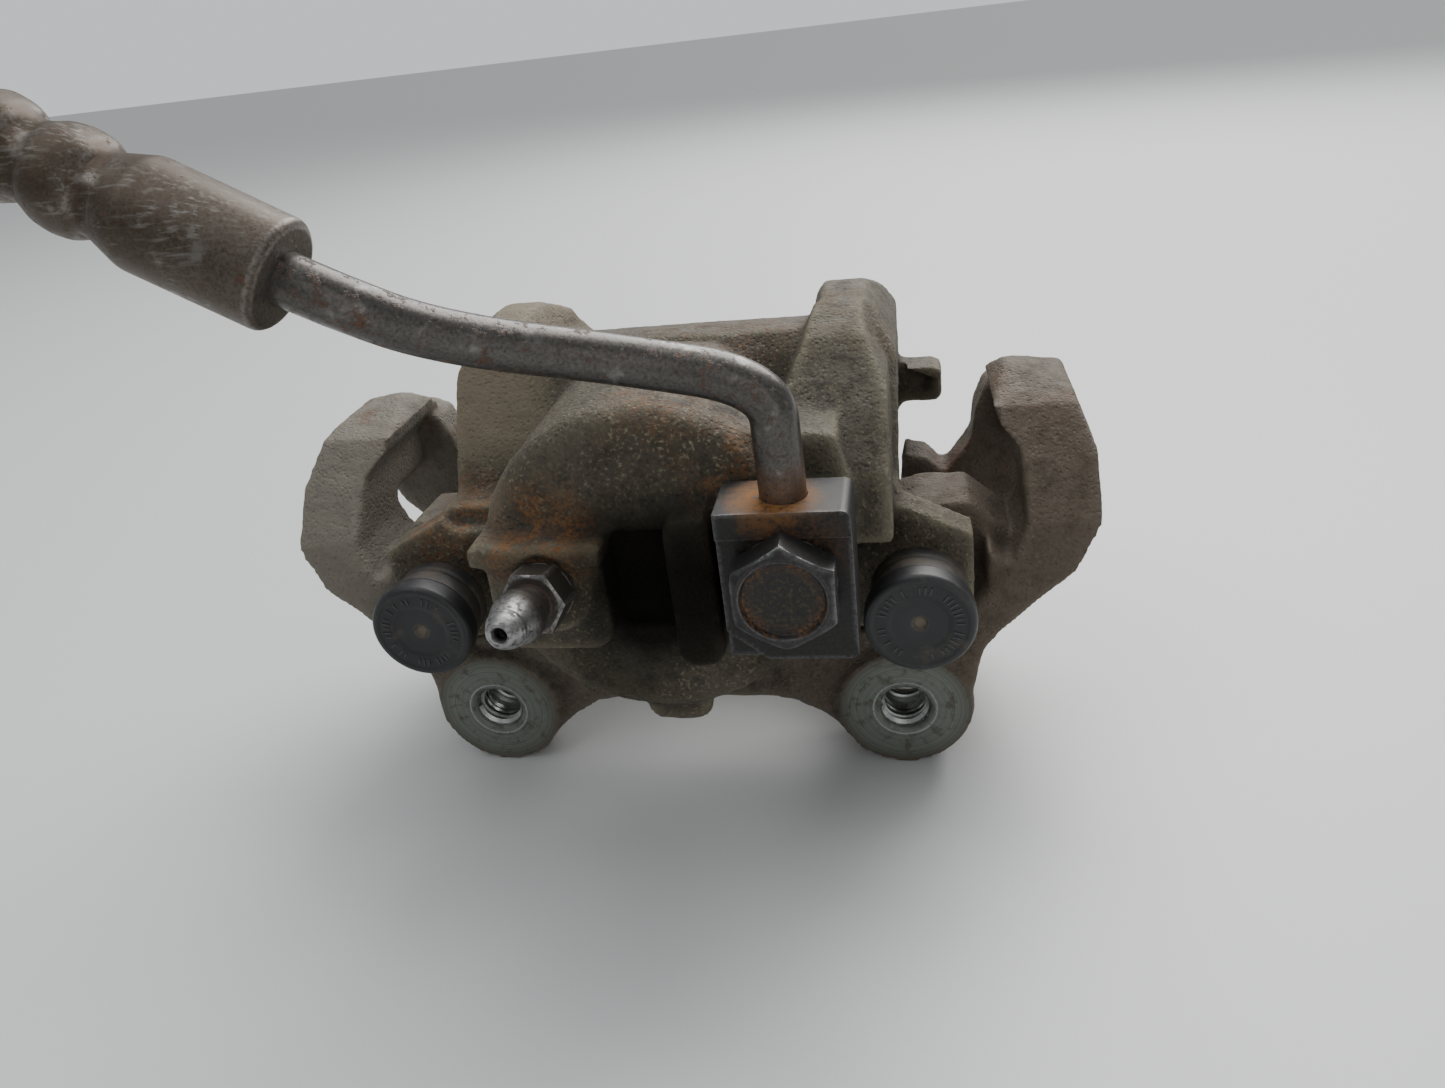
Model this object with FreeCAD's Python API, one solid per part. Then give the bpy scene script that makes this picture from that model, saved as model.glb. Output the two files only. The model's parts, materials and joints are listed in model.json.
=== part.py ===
import FreeCAD, Part
import math
import os

os.makedirs("parts", exist_ok=True)

# Rear brake caliper, single piston, floating on two guide pins, with its carrier bracket.
# Millimetres. Origin: midway between the two mounting holes, on the machined face of the
# mounting ears. +X runs along the disc's edge, +Y points outboard (towards the wheel) and
# +Z points away from the wheel's centre.

# ---------------------------------------------------------------- driving dimensions
# mounting ears
EAR_SPACING = 92.0
EAR_RADIUS = 14.5
EAR_THICK = 14.0
EAR_BORE = 10.3           # tapping bore of the M12 x 1.5 hole
EAR_CHAMFER = 12.7        # wide end of the countersink
# guide pins
PIN_SPACING = 99.4
PIN_HEIGHT = 32.0
PIN_DIA = 10.0
PIN_STUB_DIA = 8.8
PIN_END_Y = -9.4
BOSS_FACE_Y = 11.0
BOSS_RADIUS = 10.5
# disc slot
DISC_CLEAR_RADIUS = 136.0
DISC_CENTRE_Z = -72.0
SLOT_Y0 = 27.0
SLOT_Y1 = 45.0
# carrier
WEB_Y0 = 2.0
WEB_THICK = 13.0
BAR_THICK = 11.0
ARM_HALF_WIDTH = 85.0
ARM_TOP_Z = 64.0
FOOT_Z = -14.5
# cylinder and piston
PISTON_DIA = 38.0
PISTON_Z = 46.0
PISTON_LEN = 29.0
PISTON_FACE_Y = 16.5
PISTON_WALL = 5.0
PISTON_FIT = 0.05
BORE_END_Y = -13.0
CYL_WALL = 13.0
CYL_BACK_Y = -20.0
CYL_FRONT_Y = 13.0
CYL_EDGE = 5.0
CYL_GAP = 1.6             # cylinder to carrier
SEAL_SECTION = 3.0
SEAL_FIT = 0.03
# caliper bridge and fingers
BRIDGE_HALF = 46.5
BRIDGE_TOP_Z = 77.5
BRIDGE_DISC_GAP = 1.5
WALL_FOOT_Y = 4.0         # the inboard wall leans outboard from here
WALL_FOOT_Z = 46.8
WALL_LEAN = 30.0
WALL_THICK = 7.0
FINGER_GAP_Y = 2.0        # fingers stand outboard of the carrier
FINGER_THICK = 12.0
FINGER_LOW_Z = 27.0
FINGER_GAP_RADIUS = 20.5
PAD_ROOM_GAP = 5.5        # room for the boot, beyond the piston
PAD_ROOM_DEPTH = 25.5
RIB_HEIGHT = 5.2
RIB_X = 35.5
PEG_LEN = 10.0
PEG_SIZE = 10.0
PEG_LOW_Z = 47.0
# guide lugs, bushes, caps
LUG_Y0 = -4.0
LUG_THICK = 8.0
LUG_RADIUS = 10.6
BUSH_NECK_DIA = 19.0
BUSH_BODY_DIA = 16.0
BUSH_FIT = 0.03
CAP_DIA = 21.0
CAP_FACE_Y = -17.0
CAP_WALL = 1.8
CAP_SKIRT = 3.0
# piston seal and boot
SEAL_Y = 2.0
BOOT_SEAT_DEPTH = 3.4     # recess for the boot's ring in the cylinder's mouth
BOOT_SEAT_WALL = 4.2      # recess, beyond the piston
BOOT_RING_T = 1.0
BOOT_GROOVE = 1.4
# hose connection
BLOCK_X = 28.0
BLOCK_Z = 52.0
BLOCK_W = 22.5
BLOCK_LOW = 16.0          # below the bolt axis
BLOCK_HIGH = 12.8         # above the bolt axis
BLOCK_T = 12.0
BLOCK_LIP = 0.9           # lip along the top, proud of the spot face
BLOCK_LIP_HIGH = 4.8
SEAT_Y = -20.2
WASHER_T = 1.0
WASHER_DIA = 15.0
BOLT_DIA = 10.0
BOLT_AF = 17.0
BOLT_HEAD = 6.6
PIPE_DIA = 8.0
PIPE_WALL = 1.2
PIPE_SOCKET = 4.5
FERRULE_DIA = 16.8
FERRULE_START = (-36.0, -48.0, 111.0)
FERRULE_WAY = (-0.870, 0.026, 0.492)
FERRULE_LEN = 49.0
HOSE_DIA = 10.5
HOSE_SOCKET = 8.0
END_FERRULE_DIA = 14.0
END_FERRULE_LEN = 18.0
END_NUT_AF = 14.0
END_STUD_DIA = 10.0
END_STUD_LEN = 11.5
# bleeder screw
BLEED_DIA = 8.0
BLEED_AF = 11.0
BLEED_FIT = 0.05
BLEED_COLLAR = 5.6
BLEED_COLLAR_S = 0.7      # where the collar starts along the screw's axis
BLEED_BASE = (-17.0, -26.0, 47.0)
BLEED_TILT = 10.0
BLEED_LEAN = 3.0

V = FreeCAD.Vector
EAR_X = EAR_SPACING / 2
PIN_X = PIN_SPACING / 2
BORE_R = PISTON_DIA / 2 + PISTON_FIT
CYL_R = PISTON_DIA / 2 + CYL_WALL
SEAT_BLOCK_Y = SEAT_Y - WASHER_T             # inner face of the hose block
SPOT_Y = SEAT_BLOCK_Y - BLOCK_T              # spot face under the bolt head
HEAD_Y = SPOT_Y - WASHER_T                   # underside of the bolt head
PIPE_Y = SEAT_BLOCK_Y - BLOCK_T / 2          # middle of the block's thickness
BOOT_SEAT_R = PISTON_DIA / 2 + BOOT_SEAT_WALL
BOOT_SEAT_Y = CYL_FRONT_Y - BOOT_SEAT_DEPTH
BOOT_GROOVE_R = PISTON_DIA / 2 - BOOT_GROOVE
BOOT_GROOVE_Y = PISTON_FACE_Y - 2.6
PAD_ROOM_RADIUS = PISTON_DIA / 2 + PAD_ROOM_GAP
FINGER_Y0 = SLOT_Y1 + BAR_THICK + FINGER_GAP_Y

PIPE_ROUTE = [(BLOCK_X, PIPE_Y, BLOCK_Z + BLOCK_HIGH - PIPE_SOCKET), (BLOCK_X - 0.5, PIPE_Y, 84.0),
              (2.0, -28.5, 90.5), (-21.0, -39.0, 98.5), FERRULE_START]
# the hose leaves the ferrule, bends over and down, and lies along the bench beside the bracket
HOSE_ROUTE = [(-71.7, -46.9, 131.2), (-99.7, -46.1, 146.6), (-131.6, -49.8, 144.5),
              (-156.7, -56.9, 125.5), (-168.3, -66.2, 96.5), (-170.5, -77.1, 65.8),
              (-163.9, -88.8, 35.8), (-148.3, -100.3, 9.2), (-123.8, -112.1, -8.7),
              (-93.3, -122.0, -9.2), (-61.4, -125.4, -8.9), (-29.4, -126.0, -5.2)]


# ---------------------------------------------------------------- helpers
def cyl_y(radius, x, z, y0, y1):
    return Part.makeCylinder(radius, y1 - y0, V(x, y0, z), V(0, 1, 0))


def cone_y(r0, r1, x, z, y0, y1):
    return Part.makeCone(r0, r1, y1 - y0, V(x, y0, z), V(0, 1, 0))


def box(x0, x1, y0, y1, z0, z1):
    return Part.makeBox(x1 - x0, y1 - y0, z1 - z0, V(x0, y0, z0))


def face_of(points):
    return Part.Face(Part.makePolygon(points + [points[0]]))


def prism_y(outline, y0, y1):
    """Extrude an (x, z) outline from y0 to y1."""
    return face_of([V(x, y0, z) for x, z in outline]).extrude(V(0, y1 - y0, 0))


def prism_x(outline, x0, x1):
    """Extrude a (y, z) outline from x0 to x1."""
    return face_of([V(x0, y, z) for y, z in outline]).extrude(V(x1 - x0, 0, 0))


def mirror_x(shape):
    return shape.mirror(V(0, 0, 0), V(1, 0, 0))


def both(shape):
    return shape.fuse(mirror_x(shape))


def revolve_y(outline, x, z):
    """Turn a (radius, y) outline about the line through (x, z) along Y."""
    face = face_of([V(x + r, y, z) for r, y in outline])
    return face.revolve(V(x, 0, z), V(0, 1, 0), 360)


def hex_y(across_flats, x, z, y0, y1, turn=0.0):
    r = across_flats / math.sqrt(3)
    pts = [(x + r * math.cos(math.radians(60 * i + turn)),
            z + r * math.sin(math.radians(60 * i + turn))) for i in range(6)]
    return prism_y(pts, y0, y1)


def rounded(shape, radius, pick):
    """Round the straight or curved edges that pick(edge) accepts."""
    edges = [e for e in shape.Edges if pick(e)]
    return shape.makeFillet(radius, edges) if edges else shape


def along_y(edge):
    if not isinstance(edge.Curve, Part.Line):
        return False
    return abs(edge.Curve.Direction.y) > 0.99


def tube_path(points, end_share=0.45):
    """Straight runs joined by tangent arcs, each arc as wide as its shorter run allows."""
    pts = [V(*p) for p in points]
    edges = []
    here = pts[0]
    for a, b, c in zip(pts, pts[1:], pts[2:]):
        into = (b - a).normalize()
        out = (c - b).normalize()
        half = into.getAngle(out) / 2
        cut = end_share * min((b - a).Length, (c - b).Length)
        start, stop = b - into * cut, b + out * cut
        edges.append(Part.LineSegment(here, start).toShape())
        radius = cut / math.tan(half)
        middle = b + (out - into).normalize() * (radius / math.cos(half) - radius)
        edges.append(Part.Arc(start, middle, stop).toShape())
        here = stop
    edges.append(Part.LineSegment(here, pts[-1]).toShape())
    return Part.Wire(edges)


def tube(points, radius):
    path = tube_path(points)
    start = V(*points[0])
    way = (V(*points[1]) - start).normalize()
    ring = Part.Wire(Part.makeCircle(radius, start, way))
    return path.makePipeShell([ring], True, False), path


def save(shape, name):
    solids = shape.Solids
    assert shape.isValid() and len(solids) == 1, (name, shape.isValid(), len(solids))
    solids[0].exportStep("parts/%s.step" % name)
    print("%-22s %9.1f mm3" % (name, solids[0].Volume))


# ---------------------------------------------------------------- carrier bracket
def carrier_arm():
    """One C-shaped arm: its front outline crossed with its side outline."""
    w, top, back = ARM_HALF_WIDTH, ARM_TOP_Z, SLOT_Y1 + BAR_THICK
    front = [(60.5, 4), (62.5, 14), (66, 19), (w - 4.6, 32.7), (w, 41.5), (w - 0.1, 52),
             (w - 3.7, 61), (69, top), (65.5, 60), (66.5, 57), (70.1, 53), (70.8, 40.6),
             (67.3, 32), (61, 26), (52, 18.5), (44, 8)]
    side = [(WEB_Y0, 0), (WEB_Y0 - 2, 22), (0.6, 33), (3.7, 41.5), (11.5, 51.5), (20, 60),
            (29, top - 2), (36, top), (41, top - 0.7), (back - 3, top - 9), (back, top - 13),
            (back, 0)]
    arm = prism_y(front, -10, back + 5).common(prism_x(side, 40, w + 5))
    # behind the inboard plate the arm is open for the pad and the disc
    return arm.cut(box(40, w + 5, SLOT_Y0, SLOT_Y1, -20, 42))


def outboard_plate():
    """Right half of the outboard plate: pad abutment with its hook, leg and tie bar."""
    w = ARM_HALF_WIDTH - 1.5
    outline = [(-1, -3), (26, -4), (33, -8), (38, FOOT_Z), (54, FOOT_Z), (60, -4), (66, 14),
               (w - 6, 30), (w, 41.5), (w - 0.5, 50), (w - 5, 56), (70, ARM_TOP_Z - 7),
               (65.5, 55), (63.5, 50), (62.5, 42), (56.5, 33.6), (52.5, 38), (47.5, 39.3),
               (46.6, 36), (46, 26), (41, 17), (32, 10), (-1, 9)]
    return prism_y(outline, SLOT_Y1, SLOT_Y1 + BAR_THICK)


def make_carrier():
    """Right half, with its holes, then both halves as one casting."""
    web = [(-1, 1.5), (15, 1.5), (22, 0.5), (28, -3), (34, -8), (EAR_X, -8), (60, 4),
           (62.5, 14), (66, 19), (68, 26), (66, 34), (58, 42), (49, 43), (42, 39),
           (38.5, 28), (34, 20), (24, 15), (-1, 13)]
    half = prism_y(web, WEB_Y0, WEB_Y0 + WEB_THICK)
    half = half.cut(box(28, 63, -5, BOSS_FACE_Y, 18.5, 60))     # room for the guide lug
    root = [(42, 16), (66, 19), (68, 26), (68, 36), (60, 43), (PIN_X, 43), (42, 38)]
    half = half.fuse(prism_y(root, BOSS_FACE_Y, SLOT_Y0))
    half = half.fuse(cyl_y(EAR_RADIUS, EAR_X, 0, 0, EAR_THICK))
    half = half.fuse(cyl_y(BOSS_RADIUS, PIN_X, PIN_HEIGHT, BOSS_FACE_Y, SLOT_Y0))
    half = half.fuse(carrier_arm()).fuse(outboard_plate())
    half = half.cut(cyl_y(DISC_CLEAR_RADIUS, 0, DISC_CENTRE_Z, SLOT_Y0, SLOT_Y1))
    # clearance for the cylinder between the arms
    half = half.cut(cyl_y(CYL_R + CYL_GAP, 0, PISTON_Z, -10, SLOT_Y0))
    half = half.cut(cyl_y(EAR_BORE / 2, EAR_X, 0, -1, EAR_THICK + 1))
    half = half.cut(cone_y(EAR_CHAMFER / 2, EAR_BORE / 2, EAR_X, 0, 0,
                           (EAR_CHAMFER - EAR_BORE) / 2))
    half = half.cut(cyl_y(PIN_STUB_DIA / 2 + 0.02, PIN_X, PIN_HEIGHT, 0, SLOT_Y0 + 1))
    half = half.common(box(0, 200, -100, 200, -100, 200))
    return half.fuse(mirror_x(half)).removeSplitter()


def make_pin(x):
    pin = cyl_y(PIN_DIA / 2, x, PIN_HEIGHT, PIN_END_Y + 0.6, BOSS_FACE_Y)
    pin = pin.fuse(cone_y(PIN_DIA / 2 - 0.6, PIN_DIA / 2, x, PIN_HEIGHT,
                          PIN_END_Y, PIN_END_Y + 0.6))
    pin = pin.fuse(cyl_y(PIN_STUB_DIA / 2, x, PIN_HEIGHT, BOSS_FACE_Y, SLOT_Y0 - 0.5))
    return pin.cut(hex_y(6.0, x, PIN_HEIGHT, PIN_END_Y - 1, PIN_END_Y + 5)).removeSplitter()


# ---------------------------------------------------------------- caliper housing
def bleed_way():
    """Unit vector out of the housing along the bleeder screw."""
    t, s = math.radians(BLEED_TILT), math.radians(BLEED_LEAN)
    return V(-math.sin(s) * math.cos(t), -math.cos(s) * math.cos(t), math.sin(t))


def wall_y(z, behind=0.0):
    """Where the leaning inboard wall stands at height z."""
    return WALL_FOOT_Y + behind + (z - WALL_FOOT_Z) * math.tan(math.radians(WALL_LEAN))


def disc_room():
    """Space for the disc and pads, from the cylinder's mouth and the wall to the fingers."""
    top = BRIDGE_TOP_Z
    side = [(CYL_FRONT_Y, -20), (CYL_FRONT_Y, 50), (wall_y(top, WALL_THICK), top),
            (FINGER_Y0, top), (FINGER_Y0, -20)]
    return prism_x(side, -90, 90).common(
        cyl_y(DISC_CLEAR_RADIUS + BRIDGE_DISC_GAP, 0, DISC_CENTRE_Z, CYL_FRONT_Y, FINGER_Y0))


def make_bridge():
    h, top, end = BRIDGE_HALF, BRIDGE_TOP_Z, FINGER_Y0 + FINGER_THICK
    front = [(-h, 45), (-h, top - 9), (-h + 1.5, top - 4), (-h + 6, top), (h - 6, top),
             (h - 1.5, top - 4), (h, top - 9), (h, 45)]
    side = [(wall_y(44), 44), (wall_y(top - 3), top - 3), (wall_y(top - 3) + 4, top),
            (wall_y(top) + 12, top - 1), (FINGER_Y0 - 8, top - 5), (FINGER_Y0 + 4, top - 9),
            (end - 2, top - 15), (end, top - 19), (end, 44)]
    body = prism_y(front, -10, end).common(prism_x(side, -h, h))
    crest = top + RIB_HEIGHT
    rib = [(RIB_X - 8, top - 12), (RIB_X - 6.5, top - 1), (RIB_X - 3.5, crest),
           (RIB_X + 4.5, crest), (RIB_X + 7.5, crest - 3.5), (h, top - 5), (h, top - 12)]
    rib_side = [(wall_y(62), 62), (wall_y(top), top), (wall_y(top) + 5, crest - 0.8),
                (wall_y(top) + 12, crest), (FINGER_Y0 - 16, crest - 0.5),
                (FINGER_Y0 - 4, top), (FINGER_Y0 + 5, top - 8), (FINGER_Y0 + 5, 62)]
    ribs = prism_y(rib, 0, end).common(prism_x(rib_side, 0, 60))
    return body.fuse(both(ribs))


def make_fingers():
    h = BRIDGE_HALF
    low = FINGER_LOW_Z
    outline = [(0, 62), (h, 62), (h, 50), (h - 2.2, 40), (h - 5, low + 3), (h - 10, low),
               (FINGER_GAP_RADIUS + 2, low), (FINGER_GAP_RADIUS - 3, low + 3), (0, low + 3)]
    finger = prism_y(outline, FINGER_Y0, FINGER_Y0 + FINGER_THICK)
    peg = box(h - 6, h + PEG_LEN, FINGER_Y0 - 4, FINGER_Y0 + 5, PEG_LOW_Z, PEG_LOW_Z + PEG_SIZE)
    peg = rounded(peg, 2.0, lambda e: along_y(e) and e.Vertexes[0].X > h)
    return both(finger.fuse(peg))


def lug(x_sign):
    """Guide lug with its sloping roof, and the wall that carries it to the cylinder."""
    outline = [(20, 26), (33, 24), (42, 22.5), (PIN_X, PIN_HEIGHT - LUG_RADIUS),
               (56, 23), (60.2, 28), (60.2, 43.6), (46.6, 50.4), (44.4, 48.2), (20, 48.2)]
    wall = [(18, 26), (32, 26), (36.5, 34), (36.5, 44.8), (BRIDGE_HALF, 46.2),
            (BRIDGE_HALF, 52), (18, 52)]
    web = prism_y([(x_sign * x, z) for x, z in outline], LUG_Y0, LUG_Y0 + LUG_THICK)
    return web.fuse(prism_y([(x_sign * x, z) for x, z in wall], 0, CYL_FRONT_Y))


def make_cylinder():
    body = cyl_y(CYL_R, 0, PISTON_Z, CYL_BACK_Y, wall_y(BRIDGE_TOP_Z - 2))
    body = rounded(body, CYL_EDGE,
                   lambda e: abs(e.CenterOfMass.y - CYL_BACK_Y) < 0.1 and not along_y(e))
    return body


def bleeder_boss():
    base = V(*BLEED_BASE)
    way = bleed_way()
    boss = box(-29, -6.5, CYL_BACK_Y - 5, -5, 33, 53)
    boss = rounded(boss, 4.5, along_y)
    ledge = box(-31, -5.5, CYL_BACK_Y - 7, -5, 51.5, 56)
    ledge = rounded(ledge, 1.5, along_y)
    round_boss = Part.makeCylinder(8.6, 16, base - way * 15.7, way)
    return boss.fuse(ledge).fuse(round_boss)


def inlet_boss():
    """Seat of the hose block, and the tall rib beside it."""
    seat = cyl_y(10.5, BLOCK_X, BLOCK_Z, SEAT_Y, 3)
    web = prism_y([(6, 40), (BLOCK_X - 4, 41), (BLOCK_X + 9, 46), (BLOCK_X + 10.5, 60),
                   (BLOCK_X + 8, 70), (14, 72)], -15, 3)
    rib = box(5.8, 14.6, -27, -6, 30, 60.5)
    rib = rounded(rib, 3.2, along_y)
    return seat.fuse(web).fuse(rib)


def shoulder():
    """Casting that swells from the right rib down to the inlet boss."""
    crest = BRIDGE_TOP_Z + RIB_HEIGHT
    side = [(-15, 48), (-12, 60), (-3, 70), (9, 80), (18, crest - 0.5), (27, crest - 0.5),
            (27, 62), (8, 48)]
    front = [(20, 48), (24, 68), (RIB_X - 4.5, crest), (RIB_X + 4.5, crest),
             (BRIDGE_HALF - 1.5, 72), (BRIDGE_HALF - 1, 48)]
    return prism_x(side, 18, BRIDGE_HALF).common(prism_y(front, -20, 30))


def make_housing():
    body = make_bridge().fuse(make_fingers())
    body = body.fuse(make_cylinder())
    for sign in (-1, 1):
        body = body.fuse(lug(sign))
    body = body.fuse(bleeder_boss()).fuse(inlet_boss()).fuse(shoulder())
    body = body.fuse(rounded(box(-5, 8, -17, -8, 10, 20), 3.0, along_y))
    # pocket between the bleeder boss and the rib
    body = body.cut(box(-6, 5.3, CYL_BACK_Y - 8, CYL_BACK_Y + 3, 35, 55))
    body = body.cut(disc_room())
    # bore, seal groove, boot recess, boring clearance between the fingers
    finger_end = FINGER_Y0 + FINGER_THICK
    body = body.cut(cyl_y(BORE_R, 0, PISTON_Z, BORE_END_Y, CYL_FRONT_Y + 1))
    body = body.cut(cyl_y(PISTON_DIA / 2 + SEAL_SECTION, 0, PISTON_Z, SEAL_Y, SEAL_Y + SEAL_SECTION))
    body = body.cut(cyl_y(BOOT_SEAT_R, 0, PISTON_Z, BOOT_SEAT_Y, CYL_FRONT_Y + 1))
    body = body.cut(cyl_y(PAD_ROOM_RADIUS, 0, PISTON_Z, CYL_FRONT_Y, CYL_FRONT_Y + PAD_ROOM_DEPTH))
    body = body.cut(cyl_y(FINGER_GAP_RADIUS, 0, PISTON_Z, FINGER_Y0 - 1, finger_end + 1))
    body = body.cut(box(-FINGER_GAP_RADIUS, FINGER_GAP_RADIUS, FINGER_Y0 - 1, finger_end + 1,
                        0, PISTON_Z))
    # bush holes
    for x in (-PIN_X, PIN_X):
        body = body.cut(cyl_y(BUSH_BODY_DIA / 2, x, PIN_HEIGHT, LUG_Y0 - 15,
                              LUG_Y0 + LUG_THICK + 20))
    # flat for the hose block, its threaded hole and the fluid drilling
    body = body.cut(box(BLOCK_X - BLOCK_W / 2 - 0.6, BLOCK_X + BLOCK_W / 2 + 4, -60, SEAT_Y,
                        BLOCK_Z - BLOCK_LOW - 3, BLOCK_Z + BLOCK_HIGH + 3))
    body = body.cut(cyl_y(BOLT_DIA / 2, BLOCK_X, BLOCK_Z, SEAT_Y - 1, -2))
    inlet = V(BLOCK_X, -5, BLOCK_Z)
    target = V(12, -9.5, PISTON_Z + 4)
    body = body.cut(Part.makeCylinder(1.6, (target - inlet).Length, inlet, target - inlet))
    # bleeder hole, its seat and its drilling
    base, way = V(*BLEED_BASE), bleed_way()
    body = body.cut(Part.makeCylinder(BLEED_DIA / 2 + BLEED_FIT, 12, base - way * 11, way))
    body = body.cut(Part.makeCylinder(1.5, 14, base - way * 20, way))
    face = base + way * (BLEED_COLLAR_S - 0.4)
    body = body.cut(Part.makeCylinder(BLEED_COLLAR + 1.4, 6, face, way))
    return body.removeSplitter()


# ---------------------------------------------------------------- piston and its seals
def make_piston():
    r = PISTON_DIA / 2
    back = PISTON_FACE_Y - PISTON_LEN
    inner = r - PISTON_WALL
    profile = [(0, back), (r - 1.2, back), (r, back + 1.2), (r, BOOT_GROOVE_Y),
               (BOOT_GROOVE_R, BOOT_GROOVE_Y), (BOOT_GROOVE_R, BOOT_GROOVE_Y + 1.4),
               (r, BOOT_GROOVE_Y + 1.4), (r, PISTON_FACE_Y - 0.5), (r - 0.5, PISTON_FACE_Y),
               (inner + 0.8, PISTON_FACE_Y), (inner, PISTON_FACE_Y - 0.8), (inner, back + 6),
               (inner - 2, back + 5), (0, back + 5)]
    return revolve_y(profile, 0, PISTON_Z)


def make_seal():
    r = PISTON_DIA / 2
    ring = cyl_y(r + SEAL_SECTION, 0, PISTON_Z, SEAL_Y, SEAL_Y + SEAL_SECTION)
    return ring.cut(cyl_y(r + SEAL_FIT, 0, PISTON_Z, SEAL_Y - 1, SEAL_Y + SEAL_SECTION + 1))


def make_boot():
    r = PISTON_DIA / 2
    y0, y1 = BOOT_SEAT_Y, BOOT_GROOVE_Y
    profile = [(r + 0.4, y0), (BOOT_SEAT_R - BOOT_RING_T, y0), (BOOT_SEAT_R - BOOT_RING_T, CYL_FRONT_Y - 0.6),
               (r + 2.6, CYL_FRONT_Y + 0.9), (r + 2.2, y1 + 1.2), (BOOT_GROOVE_R + 0.3, y1 + 1.2),
               (BOOT_GROOVE_R + 0.3, y1 + 0.2), (r + 1.2, y1 + 0.2), (r + 1.6, CYL_FRONT_Y - 0.4),
               (r + 0.4, y0 + 1.2)]
    return revolve_y(profile, 0, PISTON_Z)


def make_boot_ring():
    ring = cyl_y(BOOT_SEAT_R, 0, PISTON_Z, BOOT_SEAT_Y, CYL_FRONT_Y - 0.6)
    return ring.cut(cyl_y(BOOT_SEAT_R - BOOT_RING_T, 0, PISTON_Z, BOOT_SEAT_Y - 1, CYL_FRONT_Y))


# ---------------------------------------------------------------- bushes and caps
def make_bush(x):
    neck, body = BUSH_NECK_DIA / 2, BUSH_BODY_DIA / 2
    bore = PIN_DIA / 2 + BUSH_FIT
    y_in, y_out = LUG_Y0, LUG_Y0 + LUG_THICK
    end = CAP_FACE_Y + CAP_WALL
    profile = [(bore + 1.6, end), (neck, end), (neck, y_in), (body, y_in), (body, y_out),
               (body + 1.0, y_out), (body + 0.6, y_out + 1.6), (bore + 0.8, y_out + 1.8),
               (bore, y_out + 1.0), (bore, y_in - 1.5), (bore + 1.6, y_in - 3.0)]
    return revolve_y(profile, x, PIN_HEIGHT)


def make_cap(x):
    r = CAP_DIA / 2
    inner = BUSH_NECK_DIA / 2
    end = CAP_FACE_Y + CAP_WALL
    profile = [(0, CAP_FACE_Y + 0.7), (1.4, CAP_FACE_Y + 0.7), (1.8, CAP_FACE_Y + 0.1),
               (r - 1.0, CAP_FACE_Y), (r - 0.3, CAP_FACE_Y + 0.4), (r, CAP_FACE_Y + 1.2),
               (r, end + CAP_SKIRT), (inner, end + CAP_SKIRT), (inner, end), (0, end)]
    return revolve_y(profile, x, PIN_HEIGHT)


# ---------------------------------------------------------------- bleeder screw
def make_bleeder():
    base, way = V(*BLEED_BASE), bleed_way()
    r = BLEED_DIA / 2

    def disc(radius, s0, s1):
        return Part.makeCylinder(radius, s1 - s0, base + way * s0, way)

    def cone(r0, r1, s0, s1):
        return Part.makeCone(r0, r1, s1 - s0, base + way * s0, way)

    screw = disc(r, -8.5, 0.7).fuse(cone(1.6, r, -10.6, -8.5))
    screw = screw.fuse(disc(BLEED_COLLAR, BLEED_COLLAR_S, 2.0))
    side = V(0, 0, 1).cross(way).normalize()
    up = way.cross(side)
    corners = [base + way * 2.0 + (side * math.cos(math.radians(60 * i))
                                   + up * math.sin(math.radians(60 * i)))
               * (BLEED_AF / math.sqrt(3)) for i in range(6)]
    hexagon = face_of(corners).extrude(way * 6.0)
    hexagon = hexagon.common(cone(BLEED_AF / 2 + 1.6, BLEED_AF / 2 - 0.2, 2.0, 8.0)
                             .fuse(disc(BLEED_AF / 2 + 0.9, 2.0, 6.6)))
    screw = screw.fuse(hexagon)
    screw = screw.fuse(disc(3.7, 8.0, 10.4)).fuse(cone(3.7, 4.7, 10.4, 12.0))
    screw = screw.fuse(disc(4.7, 12.0, 15.0)).fuse(cone(4.7, 3.0, 15.0, 21.0))
    screw = screw.fuse(cone(3.0, 2.3, 21.0, 21.8))
    screw = screw.cut(disc(1.3, -4.0, 23.0))
    cross = Part.makeCylinder(1.1, 12, base - way * 4 - side * 6, side)
    return screw.cut(cross).removeSplitter()


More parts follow.
